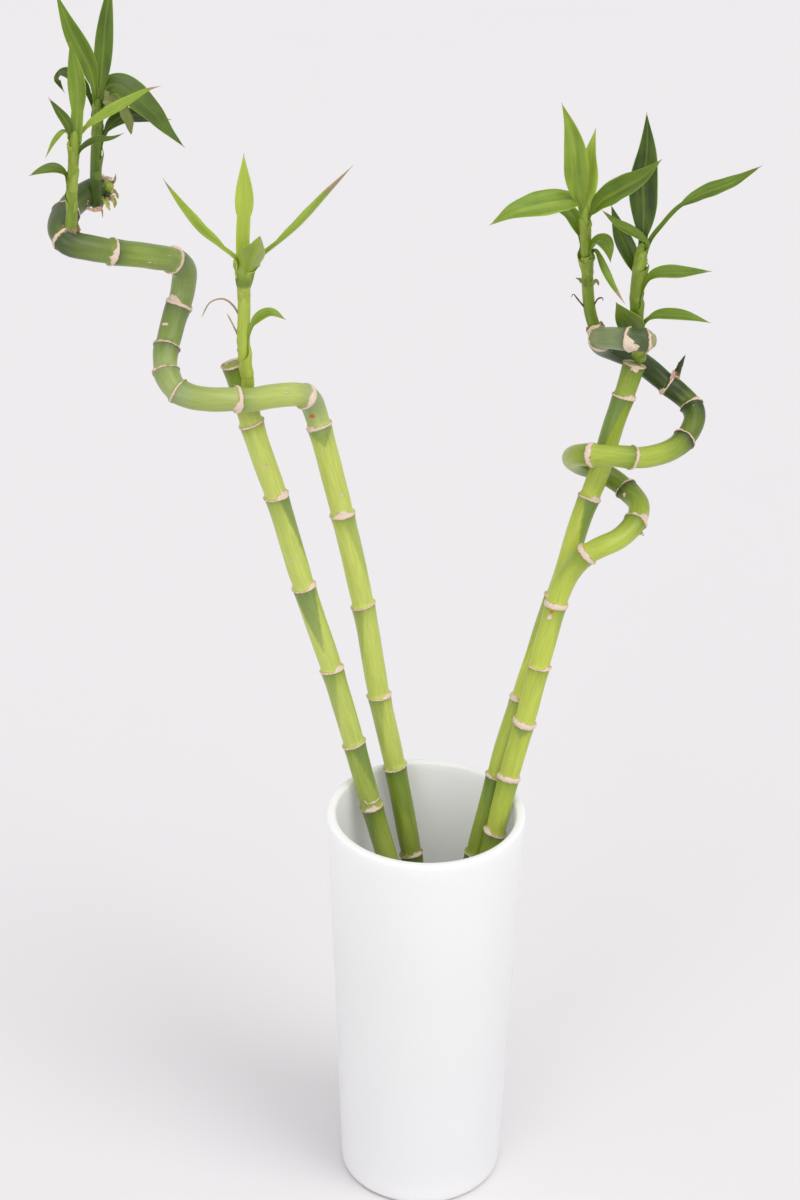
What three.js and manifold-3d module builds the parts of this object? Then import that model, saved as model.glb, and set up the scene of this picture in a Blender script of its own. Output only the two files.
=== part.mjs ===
// Lucky bamboo in its vase: four cut canes of ribbon dracaena lean against the rim of a tapered
// white vase and stand in water. Two canes are straight and two are trained into coils, and each
// carries leafy side shoots near its top. Millimetres, +Z up, front towards -Y, and the origin is
// the middle of the vase's underside.

import * as THREE from 'three';
import { mergeVertices } from 'three/addons/utils/BufferGeometryUtils.js';
import Module from 'manifold-3d';

const wasm = await Module();
wasm.setup();

// Driving dimensions

const CLEARANCE = 0.3; // between two pieces that touch

const VASE = {
  height: 220,
  rimRadius: 50,
  baseRadius: 42,
  wall: 4.5,
  floor: 6,
  lipRound: 1.3,
  baseRound: 2.5,
  insideRound: 4,
  segments: 48,
};

const WATER_LEVEL = 75;

const CANE_SIDES = 10;
const CANE_TURN = THREE.MathUtils.degToRad(15); // most that a cane bends between two sections
const CANE_STEP = 45; // longest stretch between two sections
const RING_HEIGHT = 0.5; // how far a node's ring stands out of the cane
const TOP_INNER = 0.7; // share of the radius at which a cut top is dished or domed
const HOLE_SPARE = 0.3; // a hole in the water clears the rings by this much more

const STEM_SIDES = 8;
const STEM_STEPS = 7;
const BLADE_STEP = 7; // length of leaf between two sections
const BLADE_STEPS = [3, 9]; // fewest and most of them
const BLADE_PEAK = 0.42; // where a blade is widest, as a share of its length past the stalk
const BLADE_HALF = 0.35; // half of a blade's thickness
const RIB_DEPTH = 0.7; // how far the rib's keel stands below the blade's middle
const BLADE_POWER = 1.15; // over 1 draws both ends of a blade out
const TIP_WIDTH = 0.7;
const STALK_WIDTH = 2.6;

const BUD_SIDES = 6;
const BUD_WAIST = [0.6, 0.9]; // share of a bud's length and of its radius there
const BUD_TIP_RADIUS = 0.35;

const COLOURS = {
  glaze: { color: 0xf1f0ee, roughness: 0.45 },
  water: { color: 0xdce8e6, roughness: 0.05 },
  straightCane: { color: 0xa9bf4c, roughness: 0.5 },
  coiledCane: { color: 0x7fa03c, roughness: 0.5 },
  leaf: { color: 0x6d9a35, roughness: 0.55 },
};

// The canes: where each stands on the floor, the points that its middle passes, from the rim to
// the cut top, its radius at foot and top, and how far along it each node's ring lies, with the
// ring's width. buds are [distance along, tip, base radius]. top is how far the middle of the cut
// end stands out of its edge, and is below zero where the cut has dried hollow.

const CANES = {
  cane_left_straight: {
    material: 'straightCane',
    foot: [28, 6],
    radius: [5.2, 5.7],
    points: [
      [-31.1, 24.3, 220], [-36.5, 26.7, 241], [-48, 30.7, 283], [-61.5, 34.8, 326],
      [-75.5, 39.4, 376], [-85.5, 42.4, 407], [-92.5, 44.9, 433], [-96, 46, 445],
    ],
    rings: [
      [36, 2], [70, 2], [104, 2], [138, 2], [172, 2], [207, 2], [245, 2], [288, 2], [335, 2],
      [385, 2], [424, 2], [453, 3],
    ],
    buds: [[384, [-71, 35, 385], 1.8]],
    top: -1.6,
  },
  cane_left_coiled: {
    material: 'coiledCane',
    foot: [20, 20],
    radius: [5.3, 6.1],
    points: [
      [-15.4, 36.6, 220], [-24.5, 40.5, 263], [-32.5, 44.5, 311], [-43, 48.5, 360], [-54, 52, 405],
      [-57, 53, 416], [-59, 51.5, 422], [-63, 48, 427], [-69, 43, 429.5], [-78, 36, 431.5],
      [-87, 30, 432.5], [-95, 27, 434], [-106, 24.5, 435], [-115.5, 25.5, 436],
      [-122.5, 28.5, 438.5], [-127, 34, 444], [-128, 41, 450], [-126.5, 49, 456], [-124, 56, 464.5],
      [-121.5, 60, 471], [-120, 62, 478], [-119.5, 61.5, 485], [-121.5, 58.5, 490],
      [-125.5, 54, 494], [-132, 48, 497.5], [-138.5, 43, 500.5], [-149.5, 36, 504.5],
      [-160.5, 31, 508.5], [-169, 30, 511], [-173.5, 34, 514], [-175, 42, 515.5], [-173, 54, 517.5],
      [-168.5, 64, 520], [-162, 71, 521.5], [-156, 76, 521.5],
    ],
    rings: [
      [20, 2], [54, 2], [92, 2], [130, 2], [168, 2], [220, 2], [261, 2], [312, 2], [362, 3],
      [410, 2], [429, 4], [469, 2.5], [498, 2], [510, 2], [523, 2], [545, 3], [569, 2], [606, 3],
      [633, 2], [655, 2], [682, 3],
    ],
    buds: [[680, [-152, 68, 523], 3.4], [682, [-151, 76, 529], 1.5], [682, [-152, 79, 516], 1.6]],
    top: 0.6,
  },
  cane_right_coiled: {
    material: 'coiledCane',
    foot: [-6, -25],
    radius: [5.2, 5.3],
    points: [
      [38.7, 9, 220], [43.5, 12.4, 243], [48.5, 15.6, 263], [54.5, 19.6, 291], [60.5, 23.5, 318],
      [64.5, 26, 333], [68, 27.4, 341], [72, 27.5, 347.5], [76, 27, 352.5], [83, 28, 356.5],
      [92.5, 33, 359], [101, 43, 363.5], [103, 52, 367.5], [99, 62, 369.5], [91, 69, 373.5],
      [82, 69, 378.5], [73.5, 60, 386], [69, 48, 395], [71, 37, 402], [76, 31.5, 405],
      [81, 30, 405.5], [90.5, 30, 405], [98, 32, 403.5], [105.5, 36.5, 402], [116, 44, 402],
      [123.5, 52.5, 404], [129, 64, 410], [127.5, 70.5, 414], [122, 75, 418], [115, 78, 422.5],
      [107, 79, 429], [99, 77, 435.5], [89, 73, 441.5], [82, 66, 447.5], [80, 57, 454.5],
      [84, 48, 459], [90, 42.5, 461], [98, 40, 461.5], [104, 41, 461],
    ],
    rings: [
      [30, 2], [64, 2], [98, 2], [132, 2], [166, 2], [200, 2.5], [234, 4], [265, 4], [296, 2],
      [330, 4], [361, 4], [396, 3], [420, 2], [487, 4], [512, 2], [544, 2], [566, 2], [582, 2],
      [641, 2], [660, 3],
    ],
    buds: [[576, [124, 79, 437], 1.7], [400, [108, 43, 361], 2]],
    top: 0.8,
  },
  cane_right_straight: {
    material: 'straightCane',
    foot: [-14, -14],
    radius: [5.2, 5.2],
    points: [
      [34, 20.5, 220], [40.5, 25.4, 247], [46.8, 29.6, 268], [53.4, 33.8, 290], [59.2, 37.5, 311],
      [66.2, 41, 332], [73.8, 45, 362], [82, 49, 386], [88.8, 53, 412], [94, 55.6, 429],
      [97.4, 57.6, 442],
    ],
    rings: [
      [34, 2], [70, 2], [108, 2], [146, 2], [184, 2], [228, 2], [272, 2], [328, 2.5], [383, 2.5],
      [437, 3], [451, 3],
    ],
    buds: [],
    top: -1.6,
  },
};

// The shoots: the cane that each grows from, its stem's diameter at foot and top and the points of
// its middle, and its leaves. A leaf has the points of its rib, from inside the stem to its tip,
// its full width, the way that its upper face looks, the share of its length that is stalk, and
// how steeply its two halves fold up from the rib.

const SHOOTS = {
  shoot_left_straight: {
    cane: 'cane_left_straight',
    diameter: [6, 5.2],
    stem: [
      [-91, 44, 430], [-89, 41, 437], [-90, 40.5, 448], [-90.5, 40.5, 459], [-90, 40.5, 474],
      [-90, 41, 493],
    ],
    leaves: [
      {
        rib: [[-90, 41, 486], [-90, 41, 510], [-89, 41, 529], [-89, 41, 550]],
        width: 9.5, face: [0, -1, 0.1], stalk: 0.3, stalkWidth: 4.8, fold: 0.35, peak: 0.5,
      },
      {
        rib: [
          [-90, 41, 487], [-93, 40, 499], [-100, 39, 506], [-110, 37, 515], [-118, 35, 527],
          [-126, 34, 542],
        ],
        width: 9, face: [0.3, -0.5, 1], stalk: 0.25, fold: 0.5,
      },
      {
        rib: [[-89, 41, 487], [-81, 44, 499], [-64, 48, 514], [-47, 52, 533], [-39, 54, 542]],
        width: 7.5, face: [-0.3, -0.4, 1], stalk: 0.2, fold: 0.5,
      },
      {
        rib: [[-89, 41, 484], [-86, 35, 495], [-83, 28, 508], [-81, 22, 519]],
        width: 11.5, face: [0, 0.8, 0.5], stalk: 0, fold: 0.45,
      },
      {
        rib: [[-90, 40, 446], [-88, 38, 463], [-84, 38, 471], [-77, 38, 474], [-70, 37, 471]],
        width: 7, face: [0, -0.6, 1], stalk: 0.4, fold: 0.3,
      },
      {
        rib: [[-90, 41, 463], [-95, 41, 476], [-100, 40, 480], [-106, 40, 478], [-110, 39, 471]],
        width: 1.6, face: [0, -1, 0.5], stalk: 0, stalkWidth: 1.6, fold: 0,
      },
      {
        rib: [[-90, 40, 453], [-95, 40, 466], [-98, 39, 473]],
        width: 1.6, face: [0, -1, 0.5], stalk: 0, stalkWidth: 1.6, fold: 0,
      },
    ],
  },
  shoot_left_coiled_front: {
    cane: 'cane_left_coiled',
    diameter: [5.6, 4.8],
    stem: [
      [-169, 31, 512], [-169, 31, 518], [-168, 30.5, 527], [-167.5, 30, 537], [-166, 30, 552],
      [-165, 30, 566],
    ],
    leaves: [
      {
        rib: [[-165.5, 30, 556], [-163, 30, 578], [-163, 29, 591], [-165, 28, 608]],
        width: 8.2, face: [0, -1, 0.1], stalk: 0.1, stalkWidth: 6, fold: 0.3,
      },
      {
        rib: [[-166, 30, 558], [-169, 28, 566], [-173, 25, 563], [-178, 23, 555]],
        width: 4.2, face: [-0.3, -0.4, 1], stalk: 0.2, fold: 0.3,
      },
      {
        rib: [[-166, 30, 556], [-168, 29, 569], [-172, 28, 576], [-176, 28, 582]],
        width: 6, face: [0.4, -1, 0.3], stalk: 0.2, fold: 0.4,
      },
      {
        rib: [
          [-166, 30, 558], [-159, 32, 567], [-150, 34, 572], [-139, 37, 578], [-132, 39, 582],
          [-126, 40, 584],
        ],
        width: 7.8, face: [0, -0.5, 1], stalk: 0.15, fold: 0.4,
      },
      {
        rib: [[-167, 30, 543], [-163, 29, 556], [-156, 28, 561], [-148, 27, 563], [-142, 27, 566]],
        width: 6.4, face: [0.2, -0.5, 1], stalk: 0.3, fold: 0.4,
      },
      {
        rib: [[-168, 30, 533], [-170, 29, 545], [-174, 27, 548], [-180, 25, 548], [-186, 24, 546]],
        width: 7.5, face: [0, -0.5, 1], stalk: 0.35, fold: 0.35,
      },
    ],
  },
  shoot_left_coiled_back: {
    cane: 'cane_left_coiled',
    diameter: [5.4, 5.2],
    stem: [
      [-160.5, 71, 519], [-160.5, 65.5, 517], [-160.5, 64.5, 525], [-160, 66, 539], [-159, 68, 553],
      [-158, 69, 568],
    ],
    leaves: [
      {
        rib: [
          [-158.5, 69, 560], [-156, 70, 581], [-154, 71, 600], [-152, 72, 614], [-150, 72, 627],
        ],
        width: 8.6, face: [0.2, -1, 0.2], stalk: 0.1, stalkWidth: 4.4, fold: 0.45,
      },
      {
        rib: [
          [-158.5, 69, 561], [-161, 68, 581], [-165, 66, 592], [-170, 65, 604], [-175, 64, 620],
        ],
        width: 9.5, face: [0.3, -1, 0.3], stalk: 0.15, stalkWidth: 3.6, fold: 0.35,
      },
      {
        rib: [
          [-158.5, 69, 556], [-164, 72, 571], [-170, 75, 576], [-175, 78, 577], [-178, 80, 573],
          [-175, 81, 566],
        ],
        width: 6.5, face: [0, -0.6, 1], stalk: 0.25, fold: 0.3,
      },
      {
        rib: [
          [-158, 69, 561], [-154, 69, 574], [-148.5, 69, 576], [-142.5, 69, 571],
          [-134, 70, 561.5], [-126, 71, 551.5], [-118.5, 72, 543],
        ],
        width: 15, face: [0.1, -0.6, 1], stalk: 0.2, fold: 0.2,
      },
      {
        rib: [
          [-160, 66, 536], [-157, 67, 548], [-153, 69, 554.5], [-147.5, 72, 557.5],
          [-139.5, 75.5, 557], [-132, 78, 555], [-125, 80, 554],
        ],
        width: 9, face: [0.1, -0.6, 1], stalk: 0.3, fold: 0.2,
      },
    ],
  },
  shoot_right_coiled: {
    cane: 'cane_right_coiled',
    diameter: [6.2, 5.2],
    stem: [
      [81, 60, 451], [77.5, 61, 459], [75, 61, 467], [73.5, 61.5, 478], [72.5, 62, 493],
      [71, 62, 508], [70.5, 62, 521],
    ],
    leaves: [
      {
        rib: [[70.5, 62, 512], [66, 59, 533], [64, 57, 549], [61, 56, 562], [57, 56, 573]],
        width: 12, face: [0.1, -1, 0.35], stalk: 0.1, stalkWidth: 3.6, fold: 0.3,
      },
      {
        rib: [[71, 62, 512], [72, 63, 533], [72, 64, 545], [74, 65, 558]],
        width: 8.4, face: [-0.2, -1, 0.35], stalk: 0.1, stalkWidth: 3.6, fold: 0.4,
      },
      {
        rib: [
          [71, 62, 510], [67, 60, 523], [58, 57, 524], [46, 53, 523], [36, 51, 521], [25, 49, 515],
        ],
        width: 15.5, face: [0, -0.55, 1], stalk: 0.15, fold: 0.2,
      },
      {
        rib: [[71.5, 62, 492], [68, 64, 507], [64, 67, 514], [58, 71, 516], [52, 74, 515]],
        width: 8, face: [0.3, -0.7, 0.7], stalk: 0.3, fold: 0.3,
      },
      {
        rib: [[71, 62, 510], [76, 57, 523], [85, 53, 531], [95, 49, 539], [104, 46, 550]],
        width: 14.5, face: [0, -0.6, 1], stalk: 0.12, fold: 0.25,
      },
      {
        rib: [[72, 61, 496], [78, 56, 505], [81, 53, 503], [83, 52, 496]],
        width: 10, face: [0.3, -0.5, 1], stalk: 0.1, fold: 0.3,
      },
      {
        rib: [[73, 61.5, 494], [76, 59, 499], [80, 54, 492], [84, 48, 486], [90, 42, 479]],
        width: 4.6, face: [0.4, -0.6, 0.6], stalk: 0.1, fold: 0.3,
      },
    ],
  },
  shoot_right_straight: {
    cane: 'cane_right_straight',
    diameter: [6.4, 5.6],
    stem: [
      [96, 57, 436], [100, 58, 440], [99, 57.5, 449], [97.5, 57, 464], [96.5, 57, 477],
      [97, 57, 490], [98, 57.5, 504],
    ],
    leaves: [
      {
        rib: [[98, 58, 496], [98, 59, 517], [97, 60, 532], [98, 61, 549], [97, 62, 567]],
        width: 13.6, face: [0, -1, 0.35], stalk: 0.1, stalkWidth: 4.4, fold: 0.25,
      },
      {
        rib: [
          [98, 57, 490], [101, 57, 504], [107, 56, 514], [114, 55, 523], [123, 54, 529],
          [139, 52, 537], [151, 50, 546],
        ],
        width: 8.4, face: [-0.1, -0.6, 1], stalk: 0.45, fold: 0.35,
      },
      {
        rib: [[97, 57, 467], [99, 55, 483], [104, 54, 489], [118, 52, 491], [131, 50, 493]],
        width: 10.5, face: [0, -0.5, 1], stalk: 0.35, stalkWidth: 4.4, fold: 0.3,
      },
      {
        rib: [[98, 57, 452], [101, 55, 464], [106, 54, 468], [120, 51, 469], [132, 49, 467]],
        width: 9.2, face: [0, -0.5, 1], stalk: 0.3, fold: 0.3,
      },
      {
        rib: [[98, 57, 497], [100, 54, 505], [93, 52, 511], [85, 50, 516], [77, 48, 524]],
        width: 6.4, face: [0, -0.6, 1], stalk: 0.2, fold: 0.3,
      },
      {
        rib: [[97, 58, 481], [93, 61, 495], [88, 65, 505], [83, 68, 519]],
        width: 9, face: [0.2, -1, 0.4], stalk: 0.15, fold: 0.3,
      },
      {
        rib: [[98, 56, 452], [94, 52, 463], [90, 49, 470], [86, 47, 478]],
        width: 13, face: [0, 0.8, 0.5], stalk: 0, fold: 0.35,
      },
    ],
  },
};

// Solids

// A closed geometry as a solid that can be joined and cut.
function solidOf(geometry) {
  geometry.deleteAttribute('normal');
  geometry.deleteAttribute('uv');
  const merged = mergeVertices(geometry);
  return new wasm.Manifold(new wasm.Mesh({
    numProp: 3,
    vertProperties: merged.attributes.position.array,
    triVerts: Uint32Array.from(merged.index.array),
  }));
}

// A solid as a named mesh. Where cutting left loose scraps, only the largest body stays.
function meshOf(name, solid, materialName) {
  const bodies = solid.decompose().sort((a, b) => b.volume() - a.volume());
  const cut = bodies[0].getMesh();
  const geometry = new THREE.BufferGeometry();
  geometry.setAttribute('position', new THREE.BufferAttribute(cut.vertProperties, 3));
  geometry.setIndex(new THREE.BufferAttribute(cut.triVerts, 1));
  geometry.computeVertexNormals();
  const material = new THREE.MeshStandardMaterial({ metalness: 0, ...COLOURS[materialName] });
  const mesh = new THREE.Mesh(geometry, material);
  mesh.name = name;
  return mesh;
}

// Joins equal rings of points into one closed skin, with a fan over each end. The second half of
// each ring splits its quads the other way, so that the two faces of a blade split alike.
function skin(rings) {
  const sides = rings[0].length;
  const points = rings.flat();
  const faces = [];
  for (let ring = 0; ring < rings.length - 1; ring++) {
    for (let side = 0; side < sides; side++) {
      const a = ring * sides + side;
      const b = ring * sides + (side + 1) % sides;
      const c = a + sides;
      const d = b + sides;
      faces.push(...(side < sides / 2 ? [a, b, d, a, d, c] : [a, b, c, b, d, c]));
    }
  }
  const start = points.push(middleOf(rings[0])) - 1;
  const end = points.push(middleOf(rings.at(-1))) - 1;
  const last = (rings.length - 1) * sides;
  for (let side = 0; side < sides; side++) {
    const next = (side + 1) % sides;
    faces.push(start, next, side, end, last + side, last + next);
  }
  const geometry = new THREE.BufferGeometry().setFromPoints(points);
  geometry.setIndex(faces);
  return solidOf(geometry);
}

function middleOf(ring) {
  const sum = ring.reduce((total, point) => total.add(point), new THREE.Vector3());
  return sum.divideScalar(ring.length);
}

function curveThrough(points) {
  const vectors = points.map((point) => new THREE.Vector3(...point));
  return new THREE.CatmullRomCurve3(vectors, false, 'centripetal');
}

// A round section of `sides` points about a middle, square to `along`. `across` fixes its turn.
function roundSection(middle, along, across, radius, sides) {
  const first = across.clone().addScaledVector(along, -across.dot(along)).normalize();
  const second = along.clone().cross(first);
  const section = [];
  for (let side = 0; side < sides; side++) {
    const angle = 2 * Math.PI * side / sides;
    section.push(middle.clone()
      .addScaledVector(first, radius * Math.cos(angle))
      .addScaledVector(second, radius * Math.sin(angle)));
  }
  return section;
}

// Vase and water

// The vase's outside and inside radius at a height.
function outsideRadius(z) {
  return THREE.MathUtils.lerp(VASE.baseRadius, VASE.rimRadius, z / VASE.height);
}

function insideRadius(z) {
  return outsideRadius(z) - VASE.wall;
}

function arc(centreR, centreZ, radius, fromDegrees, toDegrees, steps = 3) {
  const points = [];
  for (let step = 0; step <= steps; step++) {
    const degrees = THREE.MathUtils.lerp(fromDegrees, toDegrees, step / steps);
    const angle = THREE.MathUtils.degToRad(degrees);
    const r = centreR + radius * Math.cos(angle);
    const z = centreZ + radius * Math.sin(angle);
    points.push(new THREE.Vector2(r, z));
  }
  return points;
}

// The inside from the middle of the floor out to the wall, drawn in by a clearance.
function insideCorner(clearance) {
  const { floor, insideRound } = VASE;
  const radius = insideRadius(floor + insideRound) - insideRound;
  return [
    new THREE.Vector2(0, floor + clearance),
    ...arc(radius, floor + insideRound, insideRound - clearance, -90, 0),
  ];
}

function turned(profile) {
  return solidOf(new THREE.LatheGeometry(profile, VASE.segments).rotateX(Math.PI / 2));
}

function makeVase() {
  const { height, wall, lipRound, baseRound } = VASE;
  const profile = [
    new THREE.Vector2(0, 0),
    ...arc(outsideRadius(baseRound) - baseRound, baseRound, baseRound, -90, 0),
    ...arc(outsideRadius(height) - lipRound, height - lipRound, lipRound, 0, 90),
    ...arc(outsideRadius(height) - wall + lipRound, height - lipRound, lipRound, 90, 180),
    ...insideCorner(0).reverse(),
  ];
  return turned(profile);
}

function makeWater(holes) {
  const profile = [
    ...insideCorner(CLEARANCE),
    new THREE.Vector2(insideRadius(WATER_LEVEL) - CLEARANCE, WATER_LEVEL),
    new THREE.Vector2(0, WATER_LEVEL),
  ];
  return holes.reduce((water, hole) => water.subtract(hole), turned(profile));
}

// Canes

// The line of a cane's middle. Its foot is lifted so that the lower edge of its sloping end just
// clears the vase's floor.
function caneCurve({ foot, radius, points }) {
  const [rimX, rimY, rimZ] = points[0];
  const lean = Math.atan2(Math.hypot(rimX - foot[0], rimY - foot[1]), rimZ);
  const height = VASE.floor + CLEARANCE + radius[0] * Math.sin(lean);
  const curve = curveThrough([[...foot, height], ...points]);
  curve.arcLengthDivisions = 2000;
  return curve;
}

// Distances along a cane for its plain sections: more of them where it bends.
function bendDistances(curve, length) {
  const distances = [0];
  const probe = 1;
  let bend = 0;
  let before = curve.getTangentAt(0);
  for (let at = probe; at < length; at += probe) {
    const tangent = curve.getTangentAt(at / length);
    bend += tangent.angleTo(before);
    before = tangent;
    if (bend > CANE_TURN || at - distances.at(-1) > CANE_STEP) {
      distances.push(at);
      bend = 0;
    }
  }
  return distances;
}

// A cane as a closed skin. The room that it takes up is the same skin with `grow` added to its
// radius and `past` to its ends, and without rings where a plain tube will do.
function caneSkin(cane, { grow = 0, past = 0, rings = cane.rings } = {}) {
  const curve = caneCurve(cane);
  const length = curve.getLength();
  const stations = bendDistances(curve, length)
    .filter((at) => rings.every(([ring, width]) => Math.abs(at - ring) > width / 2 + 1))
    .map((at) => [at, 0]);
  for (const [ring, width] of rings) {
    stations.push(
      [ring - width / 2, 0],
      [ring, RING_HEIGHT],
      [Math.min(ring + width / 2, length), 0],
    );
  }
  if (stations.every(([at]) => at < length)) {
    stations.push([length, 0]);
  }
  stations.sort(([a], [b]) => a - b);

  let across = new THREE.Vector3(0, -1, 0);
  const sections = stations.map(([at, swell]) => {
    const middle = curve.getPointAt(at / length);
    const along = curve.getTangentAt(at / length);
    if (at === 0) {
      middle.addScaledVector(along, -past);
    }
    if (at === length) {
      middle.addScaledVector(along, past);
    }
    const radius = THREE.MathUtils.lerp(...cane.radius, at / length) + swell + grow;
    const section = roundSection(middle, along, across, radius, CANE_SIDES);
    across = section[0].clone().sub(middle).normalize();
    return section;
  });

  if (past === 0) {
    // The cut top is dished or domed by one smaller ring within its edge.
    const along = curve.getTangentAt(1);
    const middle = curve.getPointAt(1).addScaledVector(along, cane.top);
    sections.push(roundSection(middle, along, across, cane.radius[1] * TOP_INNER, CANE_SIDES));
  }
  return skin(sections);
}

// A bud or a torn scrap: a small cone from the cane's middle out to its tip.
function makeBud(cane, [at, tip, radius]) {
  const curve = caneCurve(cane);
  const root = curve.getPointAt(at / curve.getLength());
  const end = new THREE.Vector3(...tip);
  const along = end.clone().sub(root).normalize();
  const across = new THREE.Vector3(1, 0.3, 0.1);
  const [waistAt, waistShare] = BUD_WAIST;
  const waist = root.clone().lerp(end, waistAt);
  return skin([
    roundSection(root, along, across, radius, BUD_SIDES),
    roundSection(waist, along, across, radius * waistShare, BUD_SIDES),
    roundSection(end, along, across, BUD_TIP_RADIUS, BUD_SIDES),
  ]);
}

function makeCane(cane) {
  return cane.buds.reduce((solid, bud) => solid.add(makeBud(cane, bud)), caneSkin(cane));
}

// The plain hole that a cane needs in the water.
function caneHole(cane) {
  return caneSkin(cane, { grow: RING_HEIGHT + HOLE_SPARE, rings: [], past: VASE.floor });
}

// Shoots

function makeStem({ stem, diameter }) {
  const curve = curveThrough(stem);
  const across = new THREE.Vector3(1, 0, 0);
  const sections = [];
  for (let step = 0; step <= STEM_STEPS; step++) {
    const t = step / STEM_STEPS;
    const radius = THREE.MathUtils.lerp(...diameter, t) / 2;
    const middle = curve.getPointAt(t);
    const along = curve.getTangentAt(t);
    sections.push(roundSection(middle, along, across, radius, STEM_SIDES));
  }
  return skin(sections);
}

// Half the width of a leaf at t from root to tip: a narrow stalk opens into a lance-shaped blade
// with a drawn-out tip.
function halfWidth(t, { width, stalk, stalkWidth = STALK_WIDTH, peak = BLADE_PEAK }) {
  const open = Math.max(0, (t - stalk) / (1 - stalk));
  const bent = open ** (Math.log(0.5) / Math.log(peak));
  const blade = width * Math.sin(Math.PI * bent) ** BLADE_POWER;
  const neck = stalkWidth * (1 - open ** 2);
  return Math.max(blade, neck, TIP_WIDTH) / 2;
}

// A leaf: three points across its upper face and three across its lower one, along its rib.
function makeLeaf(leaf) {
  const curve = curveThrough(leaf.rib);
  const face = new THREE.Vector3(...leaf.face);
  const steps = THREE.MathUtils.clamp(Math.round(curve.getLength() / BLADE_STEP), ...BLADE_STEPS);
  const sections = [];
  for (let step = 0; step <= steps; step++) {
    const t = step / steps;
    const middle = curve.getPointAt(t);
    const along = curve.getTangentAt(t);
    const side = along.clone().cross(face).normalize();
    const up = side.clone().cross(along);
    const half = halfWidth(t, leaf);
    const rise = leaf.fold * half;
    const point = (across, lift) => (
      middle.clone().addScaledVector(side, across).addScaledVector(up, lift)
    );
    sections.push([
      point(-half, rise + BLADE_HALF),
      point(0, BLADE_HALF),
      point(half, rise + BLADE_HALF),
      point(half, rise - BLADE_HALF),
      point(0, -RIB_DEPTH),
      point(-half, rise - BLADE_HALF),
    ]);
  }
  return skin(sections);
}

// A leafy shoot in one piece, cut back so that its foot just clears the cane that it grows from.
function makeShoot(shoot) {
  const whole = shoot.leaves.reduce((solid, leaf) => solid.add(makeLeaf(leaf)), makeStem(shoot));
  return whole.subtract(caneSkin(CANES[shoot.cane], { grow: CLEARANCE, past: CLEARANCE }));
}

// The plant in its vase

const plant = new THREE.Group();
plant.add(meshOf('vase', makeVase(), 'glaze'));
plant.add(meshOf('water', makeWater(Object.values(CANES).map(caneHole)), 'water'));
for (const [name, cane] of Object.entries(CANES)) {
  plant.add(meshOf(name, makeCane(cane), cane.material));
}
for (const [name, shoot] of Object.entries(SHOOTS)) {
  plant.add(meshOf(name, makeShoot(shoot), 'leaf'));
}

export default plant;
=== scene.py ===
"""Lucky bamboo in its white vase: finished canes, shoots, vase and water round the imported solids.

The tables are in millimetres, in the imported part's own frame: +Z up, front towards -Y, and the
origin is the middle of the vase's underside. They repeat the routes of the part's source.
"""

import math
from collections import namedtuple

import bpy
import numpy as np
from bpy.props import FloatProperty, FloatVectorProperty, IntProperty, PointerProperty
from mathutils import Matrix, Vector


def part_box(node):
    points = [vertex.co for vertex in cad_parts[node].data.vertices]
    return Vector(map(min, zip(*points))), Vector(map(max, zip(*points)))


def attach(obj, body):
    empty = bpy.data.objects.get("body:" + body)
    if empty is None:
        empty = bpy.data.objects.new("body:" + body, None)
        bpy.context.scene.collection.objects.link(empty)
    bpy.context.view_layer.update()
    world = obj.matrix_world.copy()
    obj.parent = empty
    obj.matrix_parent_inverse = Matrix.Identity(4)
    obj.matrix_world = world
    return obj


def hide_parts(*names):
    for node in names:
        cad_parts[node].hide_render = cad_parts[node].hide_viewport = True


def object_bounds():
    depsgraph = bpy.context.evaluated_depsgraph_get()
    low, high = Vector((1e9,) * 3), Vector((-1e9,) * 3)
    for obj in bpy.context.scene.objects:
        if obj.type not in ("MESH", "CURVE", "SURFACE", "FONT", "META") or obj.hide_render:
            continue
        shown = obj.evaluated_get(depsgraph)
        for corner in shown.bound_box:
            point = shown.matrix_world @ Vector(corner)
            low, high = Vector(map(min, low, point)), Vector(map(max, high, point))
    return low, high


bl_info = {
    "name": "Lucky bamboo in a vase",
    "version": (1, 0, 0),
    "blender": (4, 5, 0),
    "location": "View3D > Sidebar > Bamboo",
    "description": "Finished canes, leafy shoots, vase and water round the packed solids",
    "category": "Object",
}

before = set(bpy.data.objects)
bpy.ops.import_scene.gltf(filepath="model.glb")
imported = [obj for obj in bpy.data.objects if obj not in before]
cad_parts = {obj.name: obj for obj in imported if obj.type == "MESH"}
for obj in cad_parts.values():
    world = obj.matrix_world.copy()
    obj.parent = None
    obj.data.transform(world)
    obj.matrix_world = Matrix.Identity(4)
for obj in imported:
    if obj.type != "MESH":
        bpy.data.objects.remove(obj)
CAD_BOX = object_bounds()
MM = 0.001

# The camera of the photograph: where it stands, how far it looks down and how far it is rolled.
CAMERA_PLACE = Vector((-0.01455, -1.1985, 1.0016))
CAMERA_PITCH = math.radians(28.86)
CAMERA_ROLL = math.radians(0.724)
CAMERA_LENS = 85.0

# The faces round a cane start at its front, and those round a stem at its right.
FRONT, RIGHT = np.array([0.0, -1.0, 0.0]), np.array([1.0, 0.0, 0.0])

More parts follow.
